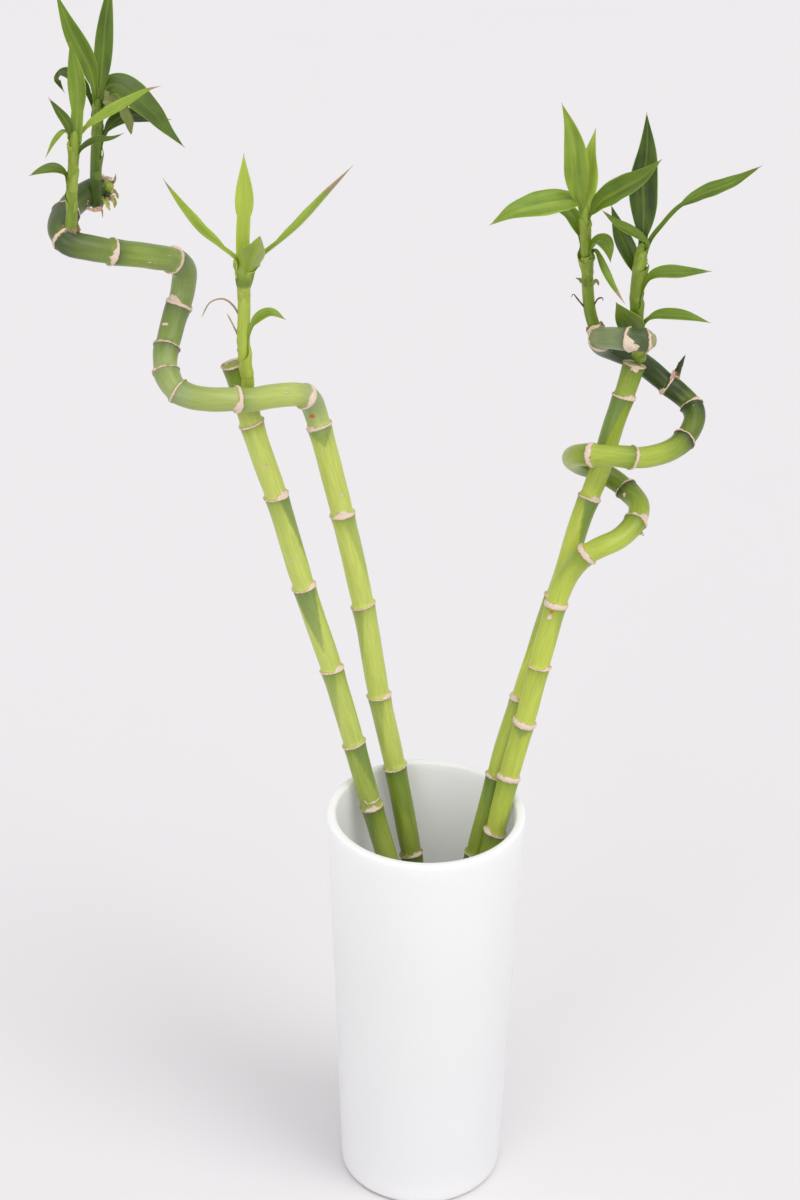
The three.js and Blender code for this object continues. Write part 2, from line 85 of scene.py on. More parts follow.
# Canes. skin names its sunlit skin's colour. A ring is its distance along the cane, its width,
# the side of its bud scar in degrees from the side that faces the camera, and how far the scar
# reaches up. A blush is the dark wedge under a ring: the ring's number, its side, its strength and
# the share of the way to the ring below that it fills. A mark is its distance along, its side, its
# half length, its half width and whether it is a red spot. tone is how dark the skin is and bloom
# how powdery, by distance along. The cut end is dished (cut under 0) or bulges, and is rounded off
# over the last millimetres that dome gives.
CANES = {
    "cane_left_straight": {
        "slot": "light_cane", "skin": "light", "seed": 11,
        "foot": (28, 6), "radius": (5.2, 5.7), "cut": -1.6, "dome": 0.6,
        "points": [(-31.1, 24.3, 220), (-36.5, 26.7, 241), (-48, 30.7, 283), (-61.5, 34.8, 326),
            (-75.5, 39.4, 376), (-85.5, 42.4, 407), (-92.5, 44.9, 433), (-96, 46, 445)],
        "rings": [(36, 1.2, 60, 2), (70, 1.3, -60, 2), (104, 1.2, 70, 2), (138, 1.3, -70, 2),
            (172, 1.2, 60, 2), (208.5, 1.2, -5, 2.6), (245, 1.2, 130, 2), (288, 1.3, 45, 2.4),
            (335, 1.1, 50, 2.6), (385, 1.1, 42, 3.6), (424, 1.3, -120, 2.5),
            (455.6, 1.4, 20, 0.3)],
        "blush": [(5, -70, 0.6, 1), (6, 50, 0.8, 1), (7, -60, 0.5, 1), (8, -12, 0.95, 0.95),
            (9, 72, 0.9, 1), (11, 150, 0.6, 1)],
        "marks": [(403, -10, 0.5, 2.4, 0), (352, -30, 0.6, 0.9, 0), (300, 40, 0.5, 1, 0)],
        "tone": [(0, 0.4), (207, 0.3), (210, 0.25), (244, 0.22), (247, 0.05), (300, 0), (385, 0),
            (392, -0.12), (420, -0.1), (436, 0.3), (455, 0.4)],
        "bloom": [(0, 0.05)],
    },
    "cane_left_coiled": {
        "slot": "green_cane", "skin": "light", "seed": 71,
        "foot": (20, 20), "radius": (5.3, 6.1), "cut": 1.4, "dome": 2.5,
        "points": [(-15.4, 36.6, 220), (-24.5, 40.5, 263), (-32.5, 44.5, 311), (-43, 48.5, 360),
            (-54, 52, 405), (-57, 53, 416), (-59, 51.5, 422), (-63, 48, 427), (-69, 43, 429.5),
            (-78, 36, 431.5), (-87, 30, 432.5), (-95, 27, 434), (-106, 24.5, 435),
            (-115.5, 25.5, 436), (-122.5, 28.5, 438.5), (-127, 34, 444), (-128, 41, 450),
            (-126.5, 49, 456), (-124, 56, 464.5), (-121.5, 60, 471), (-120, 62, 478),
            (-119.5, 61.5, 485), (-121.5, 58.5, 490), (-125.5, 54, 494), (-132, 48, 497.5),
            (-138.5, 43, 500.5), (-149.5, 36, 504.5), (-160.5, 31, 508.5), (-169, 30, 511),
            (-173.5, 34, 514), (-175, 42, 515.5), (-173, 54, 517.5), (-168.5, 64, 520),
            (-162, 71, 521.5), (-156, 76, 521.5)],
        "rings": [(20, 1.2, 60, 2), (54, 1.2, -60, 2), (92, 1.2, 60, 2), (130, 1.2, -60, 2),
            (168, 1.3, 30, 2), (220, 1.2, -150, 2), (261, 1.2, 50, 2), (312, 1.2, -140, 2),
            (362, 1.5, 5, 3.6), (410, 1.5, -60, 2), (429, 2.6, 0, 1.6), (469, 1.9, -45, 2.6),
            (498, 1.1, 160, 1), (510, 1.1, 150, 1), (523, 1.1, 170, 1), (545, 2, -40, 4.4),
            (574.3, 1.9, 90, 1.2), (609.4, 1.6, -20, 2.3), (633, 1.3, 60, 2), (655, 1.1, 20, 1.5),
            (683, 2, 0, 1)],
        "blush": [(4, 50, 0.5, 1), (5, 30, 0.5, 0.9), (6, -50, 0.45, 1), (7, -70, 0.5, 0.9),
            (8, 60, 0.4, 1), (9, 0, 0.75, 0.26), (15, 60, 0.5, 1), (16, -60, 0.5, 1),
            (17, 80, 0.5, 1)],
        "marks": [(418.6, -22, 2.3, 2, 1), (533, -35, 0.9, 2.6, 0), (374, 20, 0.6, 1.6, 0),
            (400, -20, 0.5, 0.9, 0), (445, 10, 1.2, 0.5, 0), (592, -30, 1.6, 0.4, 0)],
        "tone": [(0, 0.3), (168, 0.4), (219, 0.34), (222, -0.04), (260, -0.08), (400, -0.06),
            (412, 0.05), (425, 0.25), (440, 0), (470, 0.12), (490, 0.22), (510, 0.26),
            (525, 0.55), (560, 0.55), (575, 0.5), (600, 0.4), (620, 0.68), (640, 0.86),
            (665, 0.92), (690, 0.92)],
        "bloom": [(0, 0), (405, 0), (415, 0.5), (424, 0.6), (440, 0.25), (480, 0.3), (495, 0.55),
            (512, 0.4), (530, 0.2), (555, 0.45), (578, 0.35), (600, 0.12), (625, 0.12),
            (645, 0.1), (690, 0.05)],
    },
    "cane_right_coiled": {
        "slot": "green_cane", "skin": "fresh", "seed": 101,
        "foot": (-6, -25), "radius": (5.2, 5.3), "cut": 1.5, "dome": 4,
        "points": [(38.7, 9, 220), (43.5, 12.4, 243), (48.5, 15.6, 263), (54.5, 19.6, 291),
            (60.5, 23.5, 318), (64.5, 26, 333), (68, 27.4, 341), (72, 27.5, 347.5),
            (76, 27, 352.5), (83, 28, 356.5), (92.5, 33, 359), (101, 43, 363.5), (103, 52, 367.5),
            (99, 62, 369.5), (91, 69, 373.5), (82, 69, 378.5), (73.5, 60, 386), (69, 48, 395),
            (71, 37, 402), (76, 31.5, 405), (81, 30, 405.5), (90.5, 30, 405), (98, 32, 403.5),
            (105.5, 36.5, 402), (116, 44, 402), (123.5, 52.5, 404), (129, 64, 410),
            (127.5, 70.5, 414), (122, 75, 418), (115, 78, 422.5), (107, 79, 429), (99, 77, 435.5),
            (89, 73, 441.5), (82, 66, 447.5), (80, 57, 454.5), (84, 48, 459), (90, 42.5, 461),
            (98, 40, 461.5), (104, 41, 461)],
        "rings": [(30, 1.2, 60, 2), (64, 1.2, -60, 2), (98, 1.2, 60, 2), (132, 1.2, -60, 2),
            (166, 1.2, 60, 2), (203, 1.4, -55, 2.6), (234, 2.9, 0, 0.3), (265, 3.1, 0, 0.4),
            (296, 1, 60, 1.8), (330, 3, 0, 0.2), (361, 2.4, 0, 0.3), (392.8, 1.6, 55, 4.4),
            (417.6, 1, 160, 1.2), (489.6, 1.9, 0, 0.3), (509, 1.4, -10, 0.8),
            (544, 1.2, -70, 1.4), (566, 1.1, 50, 1.8), (582, 1.2, -60, 2), (641, 1.6, 60, 1.4),
            (662.8, 1.4, 40, 5.8), (670.5, 1.1, 0, 0.4)],
        "blush": [(4, 60, 0.4, 1), (6, 70, 0.3, 1), (7, 0, 0.8, 0.3), (9, 75, 0.3, 1),
            (10, -50, 0.1, 1), (11, -70, 0.15, 1)],
        "marks": [(327, -10, 1, 1.4, 1), (323.6, -16, 1.5, 1.5, 0), (412, -30, 1.5, 1.4, 0),
            (478, -40, 1.6, 0.6, 0), (474, 20, 1.2, 0.6, 0), (471, -10, 1.5, 0.4, 0),
            (285, 0, 0.7, 0.5, 0), (276, -20, 0.6, 0.4, 0), (243, 20, 0.5, 0.5, 0)],
        "tone": [(0, 0.4), (201, 0.3), (205, 0.08), (234, 0.04), (300, -0.06), (330, 0),
            (345, 0.12), (365, 0.1), (380, 0.05), (400, 0.3), (415, 0.55), (440, 0.7),
            (470, 0.15), (490, 0.12), (520, 0.2), (535, 0.4), (545, 0.7), (570, 0.75), (580, 1),
            (620, 1.05), (636, 0.8), (645, 0.7), (660, 0.7), (664, 1), (680, 0.9)],
        "bloom": [(0, 0), (450, 0), (465, 0.35), (480, 0.2), (490, 0), (625, 0), (640, 0.45),
            (660, 0.45), (664, 0.2), (680, 0.2)],
    },
    "cane_right_straight": {
        "slot": "light_cane", "skin": "fresh", "seed": 41,
        "foot": (-14, -14), "radius": (5.2, 5.2), "cut": -1.6, "dome": 0.6,
        "points": [(34, 20.5, 220), (40.5, 25.4, 247), (46.8, 29.6, 268), (53.4, 33.8, 290),
            (59.2, 37.5, 311), (66.2, 41, 332), (73.8, 45, 362), (82, 49, 386), (88.8, 53, 412),
            (94, 55.6, 429), (97.4, 57.6, 442)],
        "rings": [(34, 1.2, 60, 2), (70, 1.2, -60, 2), (108, 1.2, 60, 2), (146, 1.2, -60, 2),
            (184, 1.2, 60, 2), (228, 1.2, -50, 0.9), (272, 1.3, -50, 2.6), (328, 1.4, -30, 2),
            (383, 1.3, 48, 2.6), (437, 1.3, 45, 2.2), (454, 0.9, 20, 0.3)],
        "blush": [(5, -10, 0.55, 0.6), (6, -60, 0.15, 1), (7, -60, 0.5, 0.8), (8, 55, 1, 0.8),
            (9, -42, 0.9, 1), (10, -160, 0.5, 1)],
        "marks": [(452.6, 14, 1.8, 2.4, 0)],
        "tone": [(0, 0.4), (226, 0.36), (230, 0.06), (270, 0), (300, -0.06), (330, -0.15),
            (370, -0.08), (384, 0), (392, 0.2), (437, 0.25), (442, 0.32), (455, 0.38)],
        "bloom": [(0, 0)],
    },
}

# Buds and torn scraps on the canes: the cane, how far along it, the tip, the radius at its foot,
# and how dry its foot and its tip are.
BUDS = [
    ("cane_left_straight", 382.5, (-71.6, 36, 381.5), 1.5, 1, 1),
    ("cane_left_coiled", 682, (-152.6, 67.2, 525), 4.1, 0, 0),
    ("cane_right_coiled", 579, (123.8, 77, 437.8), 1.9, 1, 0),
    ("cane_right_coiled", 389.5, (105.2, 39.4, 357.2), 1.6, 1, 1),
]

# Flakes on the canes: the cane, the points of the flake, its width, its scar depth (over 0 it is
# corky), how red-brown it is and how dark it is where it is green.
FLAKES = [
    ("cane_left_coiled", [(-158, 71, 526), (-155.5, 70.6, 527.4), (-153, 71, 528)], 3.4, 0.7, 0,
     0),
    ("cane_left_coiled", [(-155, 72, 525), (-152.6, 71, 526), (-151.4, 71, 530)], 1.5, 0.5, 0.1,
     0),
    ("cane_left_coiled", [(-158, 68, 520), (-155.5, 66, 516.6), (-154.4, 66, 513.6)], 2.6, 0.4, 0,
     0),
    ("cane_left_coiled", [(-155, 72, 519), (-152.6, 70.6, 516.6), (-152.6, 71, 513)], 2.2, 0.4,
     0.1, 0),
    ("cane_left_coiled", [(-154, 73, 521), (-151.8, 72, 520), (-151, 72.6, 517)], 1.8, 0.45, 0, 0),
    ("cane_left_coiled", [(-156, 70, 519), (-153.6, 68, 518.6), (-152, 68.6, 520.4)], 2, 0.5, 0,
     0),
    ("cane_left_coiled", [(-160, 66, 518), (-158, 64, 514.4), (-157.6, 63, 511)], 1, 0.4, 0.2, 0),
    ("cane_left_coiled", [(-158, 64, 515.4), (-161.6, 60.6, 515.8), (-165.6, 59.4, 517.4)], 2.3,
     0.6, 0.1, 0),
    ("cane_left_coiled", [(-164, 60, 519.5), (-166.5, 59.6, 521), (-169, 60, 522.5)], 1.9, 0.5, 0,
     0),
    ("cane_left_coiled", [(-158, 70, 519), (-156, 66.6, 521), (-153, 68, 521.6)], 1.6, -1, 0, 1.1),
    ("cane_right_coiled", [(75.5, 58, 456.6), (76.8, 57.2, 459.8), (80.1, 57.6, 461.8)], 3.4, 1,
     0.1, 0),
    ("cane_right_coiled", [(80, 56, 451), (82, 54, 456), (82, 54.5, 459)], 2.2, 0.6, 0.2, 0),
    ("cane_right_coiled", [(119, 77, 424), (118, 74.6, 427.4), (118.6, 74.6, 431)], 3.4, 0.8, 0.3,
     0),
    ("cane_left_straight", [(-31, 19, 214), (-28, 18.6, 210), (-26, 18.5, 206)], 1.3, 1, 0.1, 0),
    ("cane_left_straight", [(-31, 19, 212), (-26.5, 18.4, 213), (-23.5, 19, 215.5)], 1.2, 1, 0.1,
     0),
]

# A leaf is the points of its rib, from inside the stem to its tip, its full width, the way that
# its upper face looks, the share of its length that is stalk, how steeply its halves fold up from
# the rib, how dark it is, the share of its length that is brown at the tip and the strength of its
# pale midrib. neck is the stalk's width, peak the share of the blade where it is widest, clasp how
# far past its sheath it holds the stem (0: by its stalk), and loose how far its sheath stands off.
Leaf = namedtuple("Leaf", "rib width face stalk fold tone brown ribbon neck peak clasp loose",
                  defaults=(2.6, 0.42, 0, 0))

LEAVES = {
    "shoot_left_straight": (
        Leaf([(-90, 41, 486), (-90, 41, 510), (-89, 41, 529), (-89, 41, 552)], 8.7, (0, -1, 0.1),
             0.46, 0.35, -0.16, 0.02, 0.1, neck=6.4, peak=0.36),
        Leaf([(-90, 41, 487), (-93, 40, 499), (-100, 39, 506), (-110, 37, 515), (-118, 35, 527),
             (-126, 34, 542)], 6.2, (0.3, -0.5, 1), 0.25, 0.9, 0.2, 0.1, 0.35),
        Leaf([(-89.5, 41.5, 492), (-82, 44, 499.5), (-64, 48, 514), (-47, 52, 533),
             (-39, 54, 542)], 5.2, (-0.3, -0.4, 1), 0.2, 0.9, 0.3, 0.27, 0.28),
        Leaf([(-89.5, 41, 491), (-87, 36.5, 498), (-83, 28, 510), (-81, 22, 519)], 12.6,
             (0, 0.8, 0.5), 0, 0.75, 0.27, 0.05, 0, neck=12, peak=0.3, clasp=4.5, loose=1.2),
        Leaf([(-90, 40, 446), (-88, 38, 463), (-84, 38, 470.5), (-77, 38, 474), (-70, 37, 471)],
             6, (0, -0.6, 1), 0.5, 0.3, 0.4, 0.04, 0.2),
        Leaf([(-90, 41, 463), (-95, 41, 476), (-100, 40, 480), (-106, 40, 478), (-110, 39, 471)],
             1, (0, -1, 0.5), 0, 0.3, 0.5, 0.95, 0, neck=1.1),
        Leaf([(-90, 40, 453), (-95, 40, 466), (-98, 39, 473)], 1, (0, -1, 0.5), 0, 0.3, 0.5, 0.95,
             0, neck=1.1),
    ),
    "shoot_left_coiled_front": (
        Leaf([(-165.5, 30, 556), (-163, 30, 578), (-163, 29, 591), (-165, 28, 608)], 8.2,
             (0, -1, 0.1), 0.1, 0.3, 0.48, 0.02, 0.2, neck=6, peak=0.55),
        Leaf([(-166, 30, 558), (-169, 28, 566), (-173, 25, 563), (-178, 23, 555)], 3.6,
             (-0.3, -0.4, 1), 0.2, 0.3, 0.35, 0.05, 0.2),
        Leaf([(-166, 30, 556), (-168, 29, 569), (-172, 28, 576), (-176, 28, 582)], 4.8,
             (0.4, -1, 0.3), 0.2, 0.5, 0.8, 0.08, 0.2),
        Leaf([(-166, 30, 558), (-159, 32, 567), (-150, 34, 572), (-139, 37, 578), (-132, 39, 582),
             (-126, 40, 584)], 6.4, (0, -0.5, 1), 0.15, 0.6, 0.27, 0.12, 0.28),
        Leaf([(-167, 30, 543), (-163, 29, 556), (-156, 28, 561), (-148, 27, 563),
             (-142, 27, 566)], 4.4, (0.2, -0.5, 1), 0.3, 0.6, 0.85, 0.06, 0.2),
        Leaf([(-168, 30, 533), (-170, 29, 545), (-174, 27, 548), (-180, 25, 548),
             (-186, 24, 546)], 6.6, (0, -0.5, 1), 0.35, 0.35, 0.75, 0.05, 0.2),
    ),
    # This shoot stands at the back, in shade: the drooping third leaf's dark tone of 0.9 is painted
    # shade.
    "shoot_left_coiled_back": (
        Leaf([(-158.5, 69, 560), (-156, 70, 581), (-154, 71, 600), (-152, 72, 614),
             (-150, 72, 627)], 8.6, (0.2, -1, 0.2), 0.1, 0.45, 0.72, 0.02, 0.2, neck=4.4),
        Leaf([(-158.5, 69, 561), (-161, 68, 581), (-165, 66, 592), (-170, 65, 604),
             (-175, 64, 620)], 9.5, (0.3, -1, 0.3), 0.15, 0.35, 0.6, 0.02, 0.2, neck=3.6),
        Leaf([(-158.5, 69, 556), (-164, 72, 571), (-170, 75, 576), (-175, 78, 577),
             (-178, 80, 573), (-175, 81, 566)], 6.5, (0, -0.6, 1), 0.25, 0.3, 0.9, 0.05, 0.1),
        Leaf([(-158, 69, 561), (-154, 69, 572.5), (-148.5, 69, 574), (-142.5, 69, 570),
             (-134, 70, 561.5), (-126, 71, 551.5), (-118.5, 72, 543)], 15, (0.1, -0.6, 1), 0.1,
             0.2, 0.8, 0.03, 0.1, neck=7, peak=0.34),
        Leaf([(-160, 66, 536), (-157, 67, 548), (-153, 69, 554.5), (-147.5, 72, 557.5),
             (-139.5, 75.5, 557), (-132, 78, 555), (-125, 80, 554)], 9, (0.1, -0.6, 1), 0.3, 0.2,
             0.85, 0.04, 0.1),
    ),
    "shoot_right_coiled": (
        Leaf([(70.5, 62, 512), (66, 59, 533), (64, 57, 549), (61, 56, 562), (57, 56, 573)], 12,
             (0.1, -1, 0.35), 0.1, 0.3, 0.38, 0.03, 0.18, neck=3.6),
        Leaf([(71, 62, 512), (72, 63, 533), (72, 64, 545), (74, 65, 558)], 8.4, (-0.2, -1, 0.35),
             0.1, 0.4, 0.12, 0.03, 0.18, neck=3.6),
        Leaf([(71, 62, 510), (67, 60, 523), (58, 57, 524), (46, 53, 523), (36, 51, 521),
             (25, 49, 515)], 15.5, (0, -0.55, 1), 0.15, 0.2, 0.42, 0.04, 0.18),
        Leaf([(71.5, 62, 492), (68, 64, 507), (64, 67, 514), (58, 71, 516), (52, 74, 515)], 8,
             (0.3, -0.7, 0.7), 0.3, 0.3, 0.5, 0.03, 0.2),
        Leaf([(71, 62, 510), (76, 57, 523), (85, 53, 531), (95, 49, 539), (104, 46, 550)], 14.5,
             (0, -0.6, 1), 0.12, 0.25, 0.65, 0.04, 0.2),
        Leaf([(72, 61, 496), (78, 56, 505), (81, 53, 503), (83, 52, 496)], 10, (0.3, -0.5, 1),
             0.1, 0.3, 0.55, 0.02, 0.1),
        Leaf([(73, 61.5, 494), (76, 59, 499), (80, 54, 492), (84, 48, 486), (90, 42, 479)], 4.6,
             (0.4, -0.6, 0.6), 0.1, 0.3, 0.5, 0.22, 0.2),
    ),
    "shoot_right_straight": (
        Leaf([(98, 58, 496), (98, 59, 517), (97, 60, 532), (98, 61, 549), (97, 62, 567)], 13.6,
             (0, -1, 0.35), 0.1, 0.25, 0.92, 0.02, 0.18, neck=4.4),
        Leaf([(98, 57, 490), (101, 57, 504), (107, 56, 514), (114, 55, 523), (123, 54, 529),
             (139, 52, 537), (151, 50, 546)], 8.4, (-0.1, -0.6, 1), 0.45, 0.35, 0.66, 0.03, 0.18,
             clasp=7),
        Leaf([(97, 57, 467), (99, 55, 483), (104, 54, 489), (118, 52, 491), (131, 50, 493)], 8.4,
             (0, -0.5, 1), 0.35, 0.35, 0.6, 0.06, 0.18, neck=4.4),
        Leaf([(98, 57, 452), (101, 55, 464), (106, 54, 468), (120, 51, 469), (132, 49, 467)], 7.4,
             (0, -0.5, 1), 0.3, 0.4, 0.55, 0.04, 0.18),
        Leaf([(98, 57, 497), (100, 54, 505), (93, 52, 511), (85, 50, 516), (77, 48, 524)], 6.4,
             (0, -0.6, 1), 0.2, 0.3, 0.62, 0.05, 0.18),
        Leaf([(97, 58, 481), (93, 61, 495), (88, 65, 505), (83, 68, 519)], 9, (0.2, -1, 0.4),
             0.15, 0.3, 0.85, 0.03, 0.1),
        Leaf([(98, 56, 452), (94, 52, 463), (90, 49, 470), (86, 47, 478)], 13, (0, 0.8, 0.5), 0,
             0.35, 0.72, 0.02, 0.1),
    ),
}

# Shoots. diameter and tone are the stem's at its foot and top, stem the points of its middle, and
# collar how far up from its foot it is wrapped in dry scales. A scrap is its points, its width,
# how dry it is and how withered.
SHOOTS = {
    "shoot_left_straight": {
        "cane": "cane_left_straight", "diameter": (6.4, 6.1), "tone": (-0.12, -0.05), "collar": 0,
        "stem": [(-91, 44, 430), (-89, 41, 437), (-90, 40.5, 448), (-90.5, 40.5, 459),
            (-90, 40.5, 474), (-90, 41, 493)],
        "scraps": [],
    },
    "shoot_left_coiled_front": {
        "cane": "cane_left_coiled", "diameter": (5.6, 4.8), "tone": (0.35, 0.3), "collar": 3,
        "stem": [(-169, 31, 512), (-169, 31, 518), (-168, 30.5, 527), (-167.5, 30, 537),
            (-166, 30, 552), (-165, 30, 566)],
        "scraps": [],
    },
    # Painted shade: the back shoot's stem is given a dark tone for the shade it stands in.
    "shoot_left_coiled_back": {
        "cane": "cane_left_coiled", "diameter": (5.4, 5.2), "tone": (0.85, 0.6), "collar": 3,
        "stem": [(-160.5, 71, 519), (-160.5, 65.5, 517), (-160.5, 64.5, 525), (-160, 66, 539),
            (-159, 68, 553), (-158, 69, 568)],
        "scraps": [
            ([(-155, 65.5, 568.5), (-150, 64.5, 568), (-145, 64, 562), (-142.8, 64.5, 552)], 6.5,
             0.42, 0),
        ],
    },
    "shoot_right_coiled": {
        "cane": "cane_right_coiled", "diameter": (6.2, 5.2), "tone": (0.5, 0.3), "collar": 2.6,
        "stem": [(81, 60, 451), (77.5, 61, 459), (75, 61, 467), (73.5, 61.5, 478),
            (72.5, 62, 493), (71, 62, 508), (70.5, 62, 521)],
        "scraps": [
            ([(72.5, 59, 481), (70, 58, 484), (67.3, 57.6, 485.8)], 2.2, 0.4, 0),
            ([(75, 59, 482), (77, 58.6, 484), (78.4, 58.4, 481.6)], 1.8, 0.45, 0),
            ([(73.5, 61, 468), (71, 60, 471), (68.6, 60, 473.9), (66.5, 60, 476.3),
             (65.6, 60, 474.8)], 0.8, 1, 1),
            ([(75.5, 61, 468), (76.8, 60, 471.4), (78.5, 60, 474.1), (80.5, 60, 474.6),
             (80.9, 60, 473)], 0.8, 1, 1),
        ],
    },
    "shoot_right_straight": {
        "cane": "cane_right_straight", "diameter": (6.5, 6.5), "tone": (0.5, 0.4), "collar": 0,
        "stem": [(96, 57, 436), (100, 58, 440), (99, 57.5, 449), (97.5, 57, 464), (96.5, 57, 477),
            (97, 57, 490), (98, 57.5, 504)],
        "scraps": [],
    },
}


def linear(hex_colour):
    """An sRGB hex colour as linear red, green, blue and 1."""
    parts = [int(hex_colour[i:i + 2], 16) / 255 for i in (1, 3, 5)]
    return tuple(c / 12.92 if c <= 0.04045 else ((c + 0.055) / 1.055) ** 2.4
                 for c in parts) + (1.0,)


def colour(name, hex_colour, description):
    """A colour that the user may change."""
    return FloatVectorProperty(name=name, description=description, subtype="COLOR", size=4,
                               min=0.0, max=1.0, default=linear(hex_colour))


def length(name, millimetres, description):
    """A length that the user may change, kept in metres."""
    return FloatProperty(name=name, description=description, default=millimetres * MM,
                         min=0.0, unit="LENGTH", precision=5)


def strength(name, default, description):
    """The strength of a light, which the user may change."""
    return FloatProperty(name=name, description=description, default=default, min=0.0)


class VaseSettings(bpy.types.PropertyGroup):
    """Sizes and glaze of the vase."""

    height: FloatProperty(name="Height", description="Height of the rim", unit="LENGTH",
                          default=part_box("vase")[1].z)
    rim_radius: FloatProperty(name="Rim radius", description="Outside radius at the rim",
                              unit="LENGTH", default=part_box("vase")[1].x)
    base_radius: length("Base radius", 42, "Outside radius at the base, before its rounded edge")
    wall: length("Wall", 4.5, "Thickness of the wall")
    floor: length("Floor", 6, "Thickness of the floor")
    lip_round: length("Lip rounding", 1.3, "Radius of the rim's two rounded edges")
    base_round: length("Base rounding", 2.5, "Radius of the base's outer edge")
    inside_round: length("Inside rounding", 4, "Radius between floor and wall inside")
    segments: IntProperty(name="Segments", description="Faces round the vase", default=176, min=24)
    glaze: colour("Glaze", "#FAF9FA", "Colour of the white glaze")
    biscuit: colour("Bare foot", "#E4DCD0", "Colour of the unglazed underside")


class WaterSettings(bpy.types.PropertyGroup):
    """How deep the water is and its tint."""

    level: FloatProperty(name="Level", description="Height of the water's surface",
                         unit="LENGTH", default=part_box("water")[1].z)
    clearance: length("Clearance", 0.3, "Room between water and glaze")
    meniscus: length("Meniscus", 0.9, "How far the water climbs where it wets a wall or a cane")
    tint: colour("Tint", "#F8FBF9", "Colour of the water")


class CaneSettings(bpy.types.PropertyGroup):
    """Skin, rings and cut ends of the canes."""

    sides: IntProperty(name="Sides", description="Faces round a cane", default=56, min=12)
    ring_height: length("Ring height", 0.5, "How far a ring stands out")
    flare: length("Node flare", 0.38, "How much a cane thickens towards a ring")
    light: colour("Light skin", "#BEC960", "Sunlit young skin of the left canes")
    fresh: colour("Fresh skin", "#BAC74C", "Sunlit young skin of the right canes")
    # Middle and dark skin also give the painted shade under each ring.
    middle: colour("Middle skin", "#7F952C", "Older skin")
    dark: colour("Dark skin", "#30430E", "Darkest skin, on the upper coils")
    wedge: colour("Wedge", "#64803F", "Dark wedge under a ring")
    bloom: colour("Bloom", "#9AA77D", "Powdery wax on the skin")
    scar: colour("Scar", "#E4D0BC", "Corky leaf scar")
    scar_edge: colour("Scar edge", "#AD7242", "Brown edge of a scar")
    cut: colour("Cut end", "#9A9A66", "Sealed cut end")
    red: colour("Red spot", "#B8523A", "Rust red spots on the skin")


class LeafSettings(bpy.types.PropertyGroup):
    """Blades and stems of the shoots."""

    thickness: length("Blade thickness", 0.45, "Thickness of a blade beside its rib")
    keel: length("Keel", 0.45, "How far the rib stands out under the blade")
    vein_spacing: length("Vein spacing", 0.75, "Distance between two side veins")
    light: colour("Light leaf", "#ACBD48", "Youngest blade and stem")
    # Middle and dark leaf also give the painted shade on the back shoot and at the cup's base.
    middle: colour("Middle leaf", "#6E8820", "Grown blade")
    dark: colour("Dark leaf", "#2C4006", "Oldest blade")
    pale: colour("Pale vein", "#B0C055", "Midrib and margin")
    dry: colour("Dry tip", "#A38D70", "Dried tissue")
    withered: colour("Withered scrap", "#6E4046", "Withered purple-brown scraps")


class StageSettings(bpy.types.PropertyGroup):
    """Floor and light."""

    floor: colour("Floor", "#E3E1E2", "Pale floor")
    sky: colour("Surroundings", "#FBFAFC", "Colour of the light from all round")
    sky_strength: strength("Surrounding light", 0.71, "Strength of the even light")
    key_strength: strength("Front light", 0.62, "Strength of the soft front light")
    side_strength: strength("Side light", 0.93, "Strength of the main soft light")
    top_strength: strength("Top light", 0.6, "Strength of the light overhead")


# Meshes

def smooth_step(low, high, value):
    """0 below low, 1 above high, and an even rise between."""
    share = np.clip((np.asarray(value, float) - low) / (high - low), 0.0, 1.0)
    return share * share * (3 - 2 * share)


def ripple(places, size, seed):
    """Smooth seeded noise of about -1 to 1 at each place, with bumps about size across."""
    draw = np.random.default_rng(seed)
    waves = 10
    ways = draw.normal(size=(waves, places.shape[-1]))
    ways *= (2 * math.pi / size * draw.uniform(0.6, 1.4, waves)
             / np.linalg.norm(ways, axis=1))[:, None]
    phases = draw.uniform(0, 2 * math.pi, waves)
    return np.sin(places @ ways.T + phases).sum(axis=-1) / math.sqrt(waves)


def circle(count):
    """Evenly spaced angles round a circle."""
    return np.arange(count) * 2 * math.pi / count


def spokes(across, beside, angles):
    """Ways out from a line at these angles round it: rows x angles x 3."""
    return (across[:, None] * np.cos(angles)[:, None]
            + beside[:, None] * np.sin(angles)[:, None])


def both_faces(value):
    """A sheet's rows over its upper face, then back over its under face."""
    return np.concatenate([value, value[:, ::-1]], axis=1)


def grid_faces(rows, columns):
    """Quads between rows of a closed ring of columns."""
    row, column = np.meshgrid(np.arange(rows - 1), np.arange(columns), indexing="ij")
    beside = (column + 1) % columns
    a = row * columns + column
    b = row * columns + beside
    return np.stack([a, b, b + columns, a + columns], axis=-1).reshape(-1, 4)


def cap_faces(first, columns, middle, flip=False):
    """Triangles from a ring of points to its middle point."""
    side = np.arange(columns)
    faces = np.stack([first + side, first + (side + 1) % columns, np.full(columns, middle)], -1)
    return faces[:, ::-1] if flip else faces


